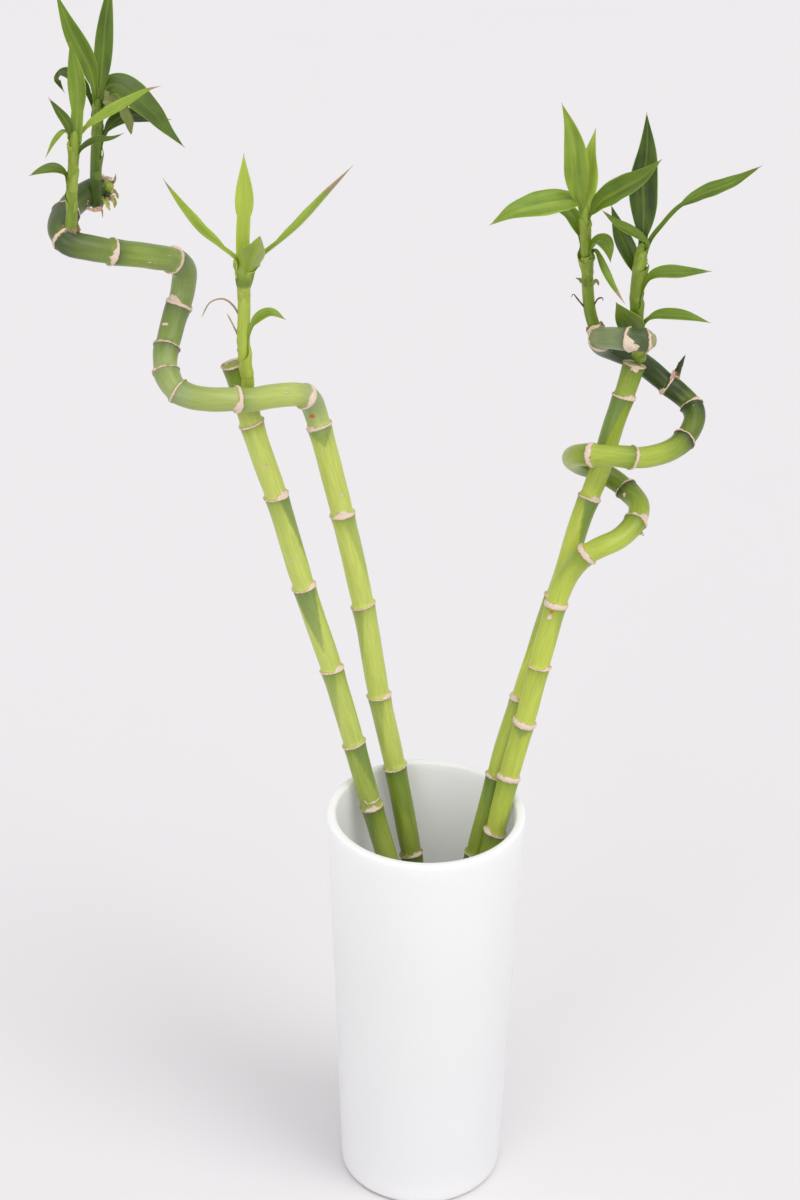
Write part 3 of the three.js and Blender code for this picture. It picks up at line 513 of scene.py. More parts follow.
class Shell:
    """Gathers closed skins and their surface values for one mesh."""

    def __init__(self):
        self.points, self.faces, self.values, self.count = [], [], {}, 0

    def add_skin(self, rings, values):
        """Adds a skin through rings of points, closed by a fan at each end.

        rings is rows x columns x 3 in millimetres, values holds rows x columns arrays.
        """
        rows, columns = rings.shape[:2]
        ends = np.stack([rings[0].mean(0), rings[-1].mean(0)])
        self.points.append(np.concatenate([rings.reshape(-1, 3), ends]))
        total = rows * columns
        for faces in (grid_faces(rows, columns),
                      cap_faces(0, columns, total, flip=True),
                      cap_faces(total - columns, columns, total + 1)):
            self.faces += (faces + self.count).tolist()
        for name, value in values.items():
            value = np.asarray(value, float)
            tail = value.shape[2:]
            closing = np.stack([value[0].mean(0), value[-1].mean(0)])
            flat = np.concatenate([value.reshape((-1,) + tail), closing])
            self.values.setdefault(name, []).append(flat)
        self.count += total + 2

    def build(self, name, material):
        """Makes the object, in metres, with smooth shading and its surface values."""
        mesh = bpy.data.meshes.new(name)
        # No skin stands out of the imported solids' box.
        low, high = np.array(CAD_BOX)
        points = np.clip(np.concatenate(self.points) * MM, low, high)
        mesh.from_pydata(points, [], self.faces)
        for key, parts in self.values.items():
            flat = np.concatenate(parts)
            kind, field = ("FLOAT_VECTOR", "vector") if flat.ndim == 2 else ("FLOAT", "value")
            layer = mesh.attributes.new(key, kind, "POINT")
            layer.data.foreach_set(field, flat.ravel())
        mesh.shade_smooth()
        mesh.materials.append(material)
        return place(name, mesh)


def place(name, mesh):
    """Links a mesh into the scene as an object."""
    made = bpy.data.objects.new(name, mesh)
    bpy.context.scene.collection.objects.link(made)
    return made


def finish_piece(piece, slot, *nodes):
    """Rides the piece on the plant and stands it for its solids. slot is not used."""
    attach(piece, "root")
    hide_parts(*nodes)


def curve_points(points, steps=24):
    """A smooth line through the points, as closely spaced points."""
    points = np.asarray(points, float)
    whole = np.vstack([2 * points[0] - points[1], points, 2 * points[-1] - points[-2]])
    line = []
    for p0, p1, p2, p3 in zip(whole, whole[1:], whole[2:], whole[3:]):
        t1 = np.linalg.norm(p1 - p0) ** 0.5
        t2 = t1 + np.linalg.norm(p2 - p1) ** 0.5
        t3 = t2 + np.linalg.norm(p3 - p2) ** 0.5
        t = np.linspace(t1, t2, steps, endpoint=False)[:, None]
        a1 = (t1 - t) / t1 * p0 + t / t1 * p1
        a2 = (t2 - t) / (t2 - t1) * p1 + (t - t1) / (t2 - t1) * p2
        a3 = (t3 - t) / (t3 - t2) * p2 + (t - t2) / (t3 - t2) * p3
        b1 = (t2 - t) / t2 * a1 + t / t2 * a2
        b2 = (t3 - t) / (t3 - t1) * a2 + (t - t1) / (t3 - t1) * a3
        line.append((t2 - t) / (t2 - t1) * b1 + (t - t1) / (t2 - t1) * b2)
    line.append(points[-1:])
    return np.concatenate(line)


class Line:
    """A smooth line that gives its place and direction by distance along it."""

    def __init__(self, points):
        self.points = curve_points(points)
        steps = np.linalg.norm(np.diff(self.points, axis=0), axis=1)
        self.marks = np.concatenate([[0], np.cumsum(steps)])
        self.length = self.marks[-1]

    def at(self, distance):
        """Places at distances along the line."""
        distance = np.asarray(distance, float)
        return np.stack([np.interp(distance, self.marks, self.points[:, k]) for k in range(3)], -1)

    def nearest(self, point):
        """The distance along the line of its nearest point."""
        return self.marks[np.linalg.norm(self.points - point, axis=1).argmin()]

    def way(self, distance, reach=0.8):
        """Directions at distances along the line."""
        distance = np.asarray(distance, float)
        ahead = self.at(np.minimum(distance + reach, self.length))
        behind = self.at(np.maximum(distance - reach, 0))
        return unit(ahead - behind)


def unit(vectors):
    """Vectors of length 1."""
    return vectors / np.linalg.norm(vectors, axis=-1, keepdims=True)


def carried_frame(ways, first):
    """Two directions square to each way, carried along without twisting."""
    across = []
    for way in ways:
        first = first - way * (first @ way)
        first /= np.linalg.norm(first)
        across.append(first)
    across = np.array(across)
    return across, np.cross(ways, across)


# Canes. Millimetres: a cane's foot over the vase's floor, the steps between its rows, how far the
# close rows reach from rings and marks, the bumps that break up its skin, how far the swelling
# and the thinner waist reach from a ring, how its foot is dished, and the depth of no scar at all.

CLEAR_OF_FLOOR = 0.3
STEP_PLAIN, STEP_AT_RING = 1.8, 0.42
CLOSE_BELOW, CLOSE_ABOVE, CLOSE_TO_MARK = 2.6, 6.0, 3
ROUGH_BUMPS, FINE_BUMPS, LONG_BUMPS = 2.6, 0.9, 3.2
SWELL_BELOW, SWELL_ABOVE, WAIST_ABOVE = 5, 1.4, 6
FOOT_CUT, NO_SCAR = -0.3, -10.0

# Rows and faces of the small pieces on a cane, and how far their seeds lie past the cane's own.
SHEET_ROWS, SHEET_COLUMNS = 18, 9
BUD_ROWS, BUD_SIDES, BUD_SCALES = 26, 20, 3
END_SEED, BUD_SEEDS, FLAKE_SEEDS = 7, 20, 40


def cane_line(cane):
    """The line of a cane's middle, with its foot just clear of the vase's floor."""
    rim_x, rim_y, rim_z = cane["points"][0]
    foot_x, foot_y = cane["foot"]
    lean = math.atan2(math.hypot(rim_x - foot_x, rim_y - foot_y), rim_z)
    floor = bpy.context.scene.bamboo_vase.floor / MM
    height = floor + CLEAR_OF_FLOOR + cane["radius"][0] * math.sin(lean)
    return Line([(foot_x, foot_y, height)] + cane["points"])


def cane_stations(rings, marks, total):
    """Distances for the rows of a cane: closely spaced at rings and marks."""
    stations = [0.0]
    zones = [(ring[0] - CLOSE_BELOW, ring[0] + CLOSE_ABOVE) for ring in rings]
    zones += [(mark[0] - CLOSE_TO_MARK, mark[0] + CLOSE_TO_MARK) for mark in marks]
    while stations[-1] < total - STEP_AT_RING:
        at = stations[-1]
        inside = any(low <= at <= high for low, high in zones)
        ahead = [low - at for low, high in zones if low > at]
        step = STEP_AT_RING if inside else min([STEP_PLAIN] + ahead)
        stations.append(at + max(step, STEP_AT_RING))
    stations[-1] = total
    return np.array(stations)


def seen_angles(line, stations, ways):
    """The camera's side at each station, square to the cane."""
    to_camera = np.array(CAMERA_PLACE) / MM - line.at(stations)
    front = to_camera - ways * np.sum(to_camera * ways, -1, keepdims=True)
    return unit(front)


def turn_between(angle, other):
    """The smallest turn between two angles, in radians."""
    return np.abs((angle - other + math.pi) % (2 * math.pi) - math.pi)


def cane_fields(cane, stations, side, round_xy):
    """Height and surface values of a cane at each station and side angle."""
    seed = cane["seed"]
    draw = np.random.default_rng(seed)
    settings = bpy.context.scene.bamboo_cane
    ring_height, flare = settings.ring_height / MM, settings.flare / MM
    s = stations[:, None] + 0 * side
    straight = np.concatenate([round_xy, s[..., None]], -1)
    rough = ripple(straight, ROUGH_BUMPS, seed + 1)
    fine = ripple(straight, FINE_BUMPS, seed + 2)
    scar = np.full(s.shape, NO_SCAR)
    lift, wedge, shade, red = np.zeros((4,) + s.shape)
    for number, (at, width, bud_side, reach) in enumerate(cane["rings"]):
        turn = turn_between(side, math.radians(bud_side))
        # The ring lies a little askew, and dips where its bud was.
        tilt = draw.uniform(0.25, 0.65)
        line = at + tilt * np.cos(side - draw.uniform(0, 2 * math.pi)) + 0.24 * rough
        line = line - 0.12 * min(reach, 4) * np.exp(-(turn / 0.5) ** 2)
        offset = s - line
        # Its scar is a ragged band, with a patch that reaches up round the bud.
        patch = np.clip(1 - (turn / (0.5 + 0.09 * reach)) ** 1.7, 0, 1)
        above = width / 2 + 0.85 * reach * patch * (1 + 0.1 * rough + 0.14 * fine) + 0.16 * fine
        below = width / 2 + 0.2 * rough + 0.1 * fine
        scar = np.maximum(scar, np.minimum(offset + below, above - offset))
        # The cane swells towards a ring from below and starts again thinner above it.
        close = np.exp(-(offset / SWELL_ABOVE) ** 2)
        waist = -0.7 * (1 - close) * np.exp(-(offset / WAIST_ABOVE) ** 2)
        lift += flare * np.where(offset < 0, np.exp(-(offset / SWELL_BELOW) ** 2), close + waist)
        # The ring's own rim, its bud and a groove under it.
        lift += ring_height * np.exp(-(offset / (width * 0.42 + 0.22)) ** 4)
        eye = np.exp(-(turn / 0.42) ** 2 - ((offset - 0.5 * reach) / (0.4 * reach + 0.4)) ** 2)
        lift += 0.2 * min(reach, 4) * eye
        lift -= 0.16 * np.exp(-((offset + width / 2 + 0.35) / 0.3) ** 2)
        # Painted shade: the skin is painted darker towards the ring's underside, as the shade that
        # falls under the ring.
        under_ring = np.where(offset < 0, -offset, 1000.0)
        shade = np.maximum(shade, 0.3 * np.exp(-under_ring / 3) + 0.2 * np.exp(-under_ring / 14))
        for ring_number, wedge_side, depth, reach_down in cane["blush"]:
            if ring_number == number:
                under = (at - s) / ((at - cane["rings"][number - 1][0]) * reach_down)
                room = 1.25 * (1 - np.clip(under, 0, 1) / 0.82) + 0.04 * rough
                turn = turn_between(side, math.radians(wedge_side))
                edge = smooth_step(-0.05, 0.12, room - turn) * (s < line) * (under < 0.84)
                wedge = np.maximum(wedge, depth * edge * (1 - 0.45 * np.clip(under, 0, 1)))
    lift += np.where(scar > 0, 0.07 * rough + 0.05 * fine, 0)
    lift += 0.05 * ripple(straight / (1, 1, 6), LONG_BUMPS, seed + 3)
    mean_radius = np.mean(cane["radius"])
    for at, mark_side, half_length, half_width, is_red in cane["marks"]:
        turn = turn_between(side, math.radians(mark_side)) * mean_radius
        inside = 1 - np.hypot((s - at) / half_length, turn / half_width) + 0.15 * rough
        if is_red:
            red = np.maximum(red, smooth_step(0, 0.6, inside))
        else:
            scar = np.maximum(scar, inside)
    tone, bloom = (np.interp(s, *np.array(cane[key], float).T) for key in ("tone", "bloom"))
    # tone carries the skin's own darkness and the painted shade under the rings.
    return lift, {"scar": scar, "wedge": wedge, "red": red, "tone": tone + shade,
                  "grain": straight, "bloom": bloom}


# Shares of the radius of the rows that close a cane's end.
END_SHARES = np.array([0.985, 0.95, 0.9, 0.8, 0.62, 0.42, 0.22, 0.08])


def end_heights(cut):
    """Heights of the rows that close a cane's end: dished with a lip, or bulging."""
    if cut < 0:
        return cut * (1 - END_SHARES ** 3) + 0.25 * np.exp(-((END_SHARES - 0.95) / 0.04) ** 2)
    return cut * np.sqrt(1 - END_SHARES ** 2) + 0.2


def build_cane(name, material):
    """One cane, with rings, bud scars, wedges and its cut end."""
    cane = CANES[name]
    seed = cane["seed"]
    line = cane_line(cane)
    stations = cane_stations(cane["rings"], cane["marks"], line.length)
    ways = line.way(stations)
    out = spokes(*carried_frame(ways, FRONT), circle(bpy.context.scene.bamboo_cane.sides))
    front = seen_angles(line, stations, ways)
    right = np.cross(ways, front)
    side = np.arctan2(np.einsum("rck,rk->rc", out, right), np.einsum("rck,rk->rc", out, front))
    radius = np.interp(stations, [0, line.length], cane["radius"])[:, None]
    round_xy = np.stack([radius * np.cos(side), radius * np.sin(side)], -1)
    lift, values = cane_fields(cane, stations, side, round_xy)
    rounded = np.clip((stations - line.length + cane["dome"]) / (cane["dome"] * 1.25), 0, 1)
    girth = (radius + lift) * np.sqrt(1 - rounded ** 2.5)[:, None]
    rings = line.at(stations)[:, None] + out * girth[..., None]
    values["cut"] = smooth_step(0.1, 0.5, rounded)[:, None] * (cane["cut"] > 0) + 0 * side

    skins = {"rings": [rings], **{key: [value] for key, value in values.items()}}
    for row, sign in ((0, -1), (-1, 1)):
        heights = end_heights(cane["cut"] if row else FOOT_CUT)
        # The rows run outwards at the foot and inwards at the top.
        shares, heights = END_SHARES[::sign], heights[::sign]
        middle = line.at([0, line.length])[row]
        jag = 1 + 0.03 * ripple(values["grain"][row] / 2, 2.0, seed + END_SEED)[None]
        inwards = (rings[row] - middle)[None] * (shares[:, None] ** jag)[..., None]
        closing = {"rings": middle + inwards + sign * ways[row] * heights[:, None, None]}
        for key, value in values.items():
            closing[key] = np.repeat(value[row][None], len(shares), 0)
        closing["cut"] = closing["cut"] + smooth_step(0.97, 0.86, shares)[:, None]
        closing["scar"] = np.where(shares[:, None] > 0.88, 0.6 if cane["cut"] < 0 else -1.0,
                                   -1.0) + 0 * closing["scar"]
        closing["grain"] = closing["grain"] * np.stack(
            [shares, shares, 0 * shares + 1], -1)[:, None]
        for key, rows in skins.items():
            rows.insert(len(rows) if row else 0, closing[key])
    shell = Shell()
    joined = {key: np.concatenate(rows) for key, rows in skins.items()}
    shell.add_skin(joined.pop("rings"), joined)
    add_buds(shell, name, line, seed)
    add_flakes(shell, name, seed)
    return shell.build(name.replace("cane", "bamboo_cane"), material)


def thin_sheet(points, width, seed):
    """Rings of a small thin torn sheet, with its places across and along."""
    line = Line(points)
    stations = np.linspace(0, line.length, SHEET_ROWS)
    share = (stations / line.length)[:, None]
    ways = line.way(stations)
    side = unit(np.cross(ways, np.array([0.1, -1.0, 0.6])))
    up = np.cross(side, ways)
    across = np.linspace(-1, 1, SHEET_COLUMNS)[None] + 0 * share
    torn = 1 + 0.25 * ripple(np.stack([across * 2, share * 7 + 0 * across], -1), 3.0, seed)
    x = across * (width / 2 * (1 - share ** 2) ** 0.8 * torn + 0.1)
    thin = 0.05 + 0.16 * min(width / 2, 1)
    lift = 0.4 * np.abs(x) + 0.12 * ripple(np.stack([x, share * 9 + 0 * x], -1), 3.0, seed + 1)
    middle = line.at(stations)[:, None] + side[:, None] * x[..., None]
    top = middle + up[:, None] * (lift + thin)[..., None]
    bottom = middle + up[:, None] * (lift - thin)[..., None]
    x = both_faces(x)
    return np.concatenate([top, bottom[:, ::-1]], axis=1), x, stations[:, None] + 0 * x


def add_flakes(shell, name, seed):
    """Thin dry flakes at a cane's torn end and rings."""
    for number, (cane, points, width, scar, red, tone) in enumerate(FLAKES):
        if cane == name:
            rings, x, along = thin_sheet(points, width, seed + FLAKE_SEEDS + number)
            flat = 0 * x
            shell.add_skin(rings, {
                "scar": flat + scar - 0.42, "wedge": flat, "red": flat + red,
                "tone": flat + tone,
                "grain": np.stack([x, flat, along], -1), "cut": flat, "bloom": flat,
            })


def add_buds(shell, name, line, seed):
    """Buds and torn scraps: each a pointed core in a few overlapping scales."""
    angle = circle(BUD_SIDES)
    for number, (cane, at, tip, radius, foot_dry, tip_dry) in enumerate(BUDS):
        if cane != name:
            continue
        root = line.at([at])[0]
        end = np.array(tip, float)
        whole = end - root
        across, beside = carried_frame(unit(whole)[None], np.array([1.0, 0.3, 0.1]))
        share = np.linspace(0, 1, BUD_ROWS)[:, None]
        step = (share * BUD_SCALES + 0.22 * np.cos(angle + number)) % 1.0
        girth = radius * (1.02 - share ** 1.7) ** 0.75 * (1 + 0.16 * (1 - step))
        girth = np.maximum(girth, 0.12)
        bend = 0.06 * np.linalg.norm(whole) * np.sin(share * math.pi)
        rings = (root + share[..., None] * whole + bend[..., None] * beside[0]
                 + girth[..., None] * spokes(across, beside, angle))
        dry = foot_dry + (tip_dry - foot_dry) * smooth_step(0.42, 0.6, share) + 0 * step
        places = rings - root
        rough = ripple(places, 1.5, seed + BUD_SEEDS + number)
        rings = rings + (0.12 * rough)[..., None] * (rings - (root + share[..., None] * whole))
        shell.add_skin(rings, {
            "scar": 1.15 * dry - 1.02 + 0.35 * rough, "wedge": 0 * dry, "red": 0 * dry,
            "tone": 0.35 + 0.8 * (tip_dry < foot_dry) + 0 * dry, "grain": places, "cut": 0 * dry,
            "bloom": 0 * dry,
        })


# Shoots. Millimetres: the most of a leaf that wraps the stem under its root, the step between the
# stem's rows, and how far its foot swells. Radians: how far a sheath wraps the stem, and at most.

SHEATH, STEM_STEP, SWELL_AT_FOOT = 9.0, 0.7, 2.2
WRAP, WRAP_MOST = 2.7, 2.8
SHEATH_ROWS, FEWEST_BLADE_ROWS, LEAF_COLUMNS = 10, 18, 17
STEM_SIDES, SCALES_ROUND_FOOT = 32, 7

# The first shoot's seed, the step to the next one's, and how far past it lie the seeds of where
# the scales stand, of the scales and of the scraps.
FIRST_SEED, SEED_STEP = 200, 100
PLACE_SEED, SCALE_SEEDS, SCRAP_SEEDS = 50, 60, 80


def half_width(share, leaf):
    """Half the width of a leaf at a share of its length, as in the part's source."""
    opened = np.maximum(0, (share - leaf.stalk) / (1 - leaf.stalk))
    bent = opened ** (math.log(0.5) / math.log(leaf.peak))
    blade = leaf.width * np.sin(math.pi * np.clip(bent, 0, 1)) ** 1.15
    stalk = leaf.neck * (1 - opened ** 2)
    tip = np.interp(share, [0.9, 1], [0.7, 0.16])
    return np.maximum(np.maximum(blade, stalk), tip) / 2


def add_leaf(shell, leaf, stem, stem_radius, stem_tone, outer, seed):
    """One leaf: a sheath that clasps the stem, a channelled stalk and a folded, waved blade.

    outer is how many younger leaves the sheath wraps."""
    settings = bpy.context.scene.bamboo_leaf
    rib = np.array(leaf.rib, float)
    root = stem.nearest(rib[0])
    sheath = min(SHEATH, root - 1.0)
    line = Line(np.concatenate([stem.at([root - sheath, root - sheath * 0.5]), rib]))
    blade_length = line.length - sheath
    stations = np.concatenate([
        np.linspace(0, sheath, SHEATH_ROWS, endpoint=False),
        np.linspace(sheath, line.length, max(FEWEST_BLADE_ROWS, int(blade_length))),
    ])
    past = stations - sheath
    share = np.clip(past / blade_length, 0, 1)
    ways = line.way(stations, 1.6)

    # The sheath's back faces away from where the blade goes.
    probe = line.at([sheath + 0.35 * blade_length])[0] - rib[0]
    stem_way = stem.way([root])[0]
    leaving = probe - stem_way * (probe @ stem_way)
    given = np.array(leaf.face, float)
    base_face = -leaving / np.linalg.norm(leaving) if np.linalg.norm(leaving) > 2.0 else given
    clasp_end = leaf.clasp or max(5.0, min(0.8 * leaf.stalk * blade_length, 16.0))
    weight = (1 - smooth_step(0.4 * clasp_end, clasp_end, past))[:, None]
    face = unit(given)[None] * (1 - weight) + unit(base_face)[None] * weight
    side = unit(np.cross(ways, face))
    up = np.cross(side, ways)

    # Where it clasps, the sheet bends round the stem. hug is the radius of that bend.
    hug = stem_radius - 0.5 + (0.46 + 0.03 * outer) * smooth_step(0, 4.0, stations)
    hug += (0.03 * smooth_step(0, sheath * 0.75, stations)
            + leaf.loose * smooth_step(0.25 * sheath, sheath, stations))
    around = WRAP * hug if leaf.width > 2 else 0.6 * leaf.width + 0 * hug
    wide = 1 - smooth_step(-2.5, (1.4 if leaf.loose else 0.55) * clasp_end, past)
    half = half_width(share, leaf) * (1 - wide) + wide * around
    half, hug = half[:, None], hug[:, None]
    across = np.linspace(-1, 1, LEAF_COLUMNS)[None] * np.ones((len(stations), 1))
    x = across * half
    turn = np.clip(x / hug, -WRAP_MOST, WRAP_MOST)
    draw = np.random.default_rng(seed)
    wave = draw.uniform(0.5, 1.0) * np.sin(
        stations[:, None] / draw.uniform(11, 17) * 2 * math.pi + draw.uniform(0, 6)
        + np.sign(across) * draw.uniform(0.4, 1.4))
    flat_up = leaf.fold * np.abs(x) ** 1.25 / np.maximum(half, 0.1) ** 0.25
    flat_up += 0.05 * wave * np.abs(x) * np.abs(across) ** 1.5
    flat_up += 0.05 * half * np.cos(across * math.pi * 2.5) * (1 - np.abs(across))
    local_side = hug * np.sin(turn) * weight + x * (1 - weight)
    local_up = (hug * (1 - np.cos(turn)) - hug) * weight + flat_up * (1 - weight)

    # Thin margins, a full middle and a keel under the rib.
    thick = settings.thickness / MM * np.minimum(1, half / 1.2 + 0.25)
    thick = thick * (1 - 0.75 * np.abs(across) ** 3) * (1 - 0.5 * weight)
    keel = settings.keel / MM * np.exp(-(x / 0.55) ** 2) * (1 - share[:, None]) ** 0.7
    keel = keel * (1 - weight)
    middle = line.at(stations)[:, None] + side[:, None] * local_side[..., None]
    top = middle + up[:, None] * (local_up + thick / 2)[..., None]
    bottom = middle + up[:, None] * (local_up - thick / 2 - keel)[..., None]

    # A dry tip is also thin and ragged.
    dry = smooth_step(0.98 - 1.3 * leaf.brown, 1.005 - 0.45 * leaf.brown, share)[:, None]
    along = stations[:, None] + draw.uniform(0, 400)
    # A loose sheath, which opens as a cup, is already as dark as its blade.
    stem_like = weight * (1 - smooth_step(-5.5, -3.5, past)[:, None] * (leaf.loose > 0))
    tone = leaf.tone + (stem_tone + draw.uniform(-0.06, 0.04) - leaf.tone) * stem_like
    # Painted shade: where the loose sheath opens as a cup round the stem, its base is painted 0.3
    # darker.
    tone = tone + 0.3 * (weight - stem_like)
    flat = 0 * across
    under = np.concatenate([flat, flat + 1], axis=1)
    shell.add_skin(np.concatenate([top, bottom[:, ::-1]], axis=1), {
        "vein": np.stack([both_faces(x), both_faces(along + flat), under * 40], -1),
        "across": both_faces(across), "under": under, "dry": both_faces(dry + flat),
        "tone": both_faces(tone + flat), "withered": 0 * under,
        "ribbon": both_faces(leaf.ribbon * (1 - weight) + flat),
    })


def add_scrap(shell, points, width, dry, withered, seed):
    """A small torn or curled remnant of a leaf."""
    rings, x, along = thin_sheet(points, width, seed)
    flat = 0 * x
    shell.add_skin(rings, {
        "vein": np.stack([x, along, flat], -1), "across": flat, "under": flat,
        "tone": flat + 0.6, "ribbon": flat, "dry": flat + dry, "withered": flat + withered,
    })


def build_shoot(name, material, seed):
    """A leafy shoot: its stem of overlapping sheaths, leaves, collar and scraps."""
    shoot = SHOOTS[name]
    stem = Line(shoot["stem"])
    cane = CANES[shoot["cane"]]
    cane_middle = cane_line(cane)
    collar, thick = shoot["collar"], shoot["diameter"]
    # The stem starts inside its cane's skin.
    gaps = np.array([np.linalg.norm(cane_middle.points - p, axis=1).min() for p in stem.points])
    inside = gaps < np.mean(cane["radius"]) - 0.6
    foot = stem.marks[np.flatnonzero(inside)[-1]] if inside.any() else 0.0
    stations = np.linspace(foot, stem.length, int((stem.length - foot) / STEM_STEP))
    share = stations / stem.length
    across, beside = carried_frame(stem.way(stations, 1.5), RIGHT)
    angle = circle(STEM_SIDES)
    radius = np.interp(share, [0, 1], thick)[:, None] / 2 - 0.05
    radius = radius + 0.5 * np.exp(-((stations[:, None] - foot) / SWELL_AT_FOOT) ** 2) + 0 * angle
    radius *= np.sqrt(1.002 - np.clip((share - 0.88) / 0.12, 0, 1) ** 2)[:, None]
    rings = stem.at(stations)[:, None] + spokes(across, beside, angle) * radius[..., None]
    flat = np.zeros(radius.shape)
    dry = smooth_step(collar + 0.6, 0, stations - foot)[:, None] * 0.8 * (collar > 0)
    shell = Shell()
    shell.add_skin(rings, {
        "vein": np.stack([angle * 3.0 + flat, flat + stations[:, None], flat + 90], -1),
        "across": flat, "under": flat, "ribbon": flat, "dry": dry + flat, "withered": flat,
        "tone": np.interp(share, [0, 1], shoot["tone"])[:, None] + flat,
    })
    roots = [stem.nearest(np.array(leaf.rib[0])) / stem.length for leaf in LEAVES[name]]
    order = np.argsort(np.argsort(roots, kind="stable"), kind="stable")
    for number, (leaf, at) in enumerate(zip(LEAVES[name], roots)):
        stem_radius = np.interp(at, [0, 1], thick) / 2
        stem_tone = np.interp(at, [0, 1], shoot["tone"])
        outer = len(roots) - 1 - order[number]
        add_leaf(shell, leaf, stem, stem_radius, stem_tone, outer, seed + number)
    draw = np.random.default_rng(seed + PLACE_SEED)
    girth = thick[0] / 2
    for number in range(SCALES_ROUND_FOOT if collar else 0):
        turn = 2 * math.pi * number / SCALES_ROUND_FOOT + draw.uniform(-0.3, 0.3)
        start = foot + draw.uniform(-0.8, 0.6)
        rise = collar * draw.uniform(0.5, 1.0) + 1.0
        out = across[0] * math.cos(turn) + beside[0] * math.sin(turn)
        low, high = stem.at([max(start, 0), start + rise])
        add_scrap(shell, [low + out * (girth - 0.2), (low + high) / 2 + out * (girth + 0.3),
                          high + out * (girth + draw.uniform(0.3, 0.9))],
                  draw.uniform(2.2, 3.4), draw.uniform(0.7, 0.95), draw.uniform(0, 0.1),
                  seed + SCALE_SEEDS + number)
    for number, scrap in enumerate(shoot["scraps"]):
        add_scrap(shell, *scrap, seed + SCRAP_SEEDS + number)
    return shell.build(name.replace("shoot", "leafy_shoot"), material)


# Vase and water. Millimetres: how far the cast wall wanders and over what distance, the radius at
# which a floor closes on its middle, how fast the water's climb fades from a wall, and how far the
# cutters that make room for the canes reach up and down and are thinner than these.

DRIFT, DRIFT_BUMPS, NEAR_MIDDLE, CLIMB_FADE = 0.1, 70, 1.0, 1.6
CUTTER_UP, CUTTER_DOWN, CUTTER_THINNER = 110, 12, 0.25
WATER_ROWS, WATER_SIDES, CUTTER_ROWS, CUTTER_SIDES = 44, 144, 12, 32


def arc(centre_r, centre_z, radius, start, end, steps=8):
    """Points of an arc in the profile, by degrees."""
    angles = np.radians(np.linspace(start, end, steps + 1))
    return [(centre_r + radius * math.cos(a), centre_z + radius * math.sin(a)) for a in angles]


def between(start, end, step=4.0):
    """Points on a straight stretch of the profile, without its ends."""
    count = max(2, int(math.dist(start, end) / step))
    return [tuple(np.array(start) + (np.array(end) - start) * k / count) for k in range(1, count)]


def outside_radius(vase, z):
    """The vase's outside radius at a height, in millimetres."""
    low, high = vase.base_radius / MM, vase.rim_radius / MM
    return low + (high - low) * z / (vase.height / MM)


def inside_arc(vase, clearance):
    """The rounded corner between the vase's floor and wall inside."""
    corner, floor, wall = vase.inside_round / MM, vase.floor / MM, vase.wall / MM
    centre = outside_radius(vase, floor + corner) - wall - corner
    return arc(centre, floor + corner, corner - clearance, -90, 0)


def turned_rings(profile, segments):
    """A profile turned about Z: rings of points from its first point to its last."""
    angle = circle(segments)
    profile = np.array(profile)
    radius = profile[:, :1]
    return np.stack([radius * np.cos(angle), radius * np.sin(angle),
                     profile[:, 1:] + 0 * angle], -1)


def vase_profile(vase):
    """The vase's outline from the middle of its underside over the rim to its inside floor."""
    height, wall = vase.height / MM, vase.wall / MM
    lip, base = vase.lip_round / MM, vase.base_round / MM
    rim = outside_radius(vase, height)
    foot = arc(outside_radius(vase, base) - base, base, base, -90, 0)
    outer_lip = arc(rim - lip, height - lip, lip, 0, 90)
    inner_lip = arc(rim - wall + lip, height - lip, lip, 90, 180)
    corner = inside_arc(vase, 0)[::-1]
    centre, inner_centre = (NEAR_MIDDLE, 0.0), (NEAR_MIDDLE, vase.floor / MM)
    under = [centre] + between(centre, foot[0], 6)
    inner_floor = between(corner[-1], inner_centre, 6) + [inner_centre]
    return (under + foot + between(foot[-1], outer_lip[0]) + outer_lip + inner_lip
            + between(inner_lip[-1], corner[0]) + corner + inner_floor)


class BAMBOO_OT_vase(bpy.types.Operator):
    """Makes the glazed vase."""

    bl_idname = "bamboo.vase"
    bl_label = "Make vase"

    def execute(self, context):
        vase = context.scene.bamboo_vase
        rings = turned_rings(vase_profile(vase), vase.segments)
        # A cast wall is never perfectly even.
        r = np.linalg.norm(rings[..., :2], axis=-1, keepdims=True)
        rise = smooth_step(3, 20, rings[..., 2:])
        drift = DRIFT * ripple(rings, DRIFT_BUMPS, 3)[..., None] * rise - DRIFT / 2 * rise
        rings[..., :2] *= 1 + drift / r
        shell = Shell()
        shell.add_skin(rings, {})
        piece = shell.build("porcelain_vase", cast_porcelain(vase))
        finish_piece(piece, "ceramic", "vase")
        return {"FINISHED"}


def water_rings(vase, water):
    """The water's body, with a finely ringed top that is later lifted a little at the wall and the
    canes.
    """
    clearance = water.clearance / MM
    level = water.level / MM
    corner = inside_arc(vase, clearance)
    edge = outside_radius(vase, level) - vase.wall / MM - clearance
    centre = (NEAR_MIDDLE, corner[0][1])
    floor = [centre] + between(centre, corner[0], 5)
    top = [(edge - edge * k / WATER_ROWS, level) for k in range(WATER_ROWS)]
    return turned_rings(floor + corner + between(corner[-1], (edge, level), 5) + top,
                        WATER_SIDES)


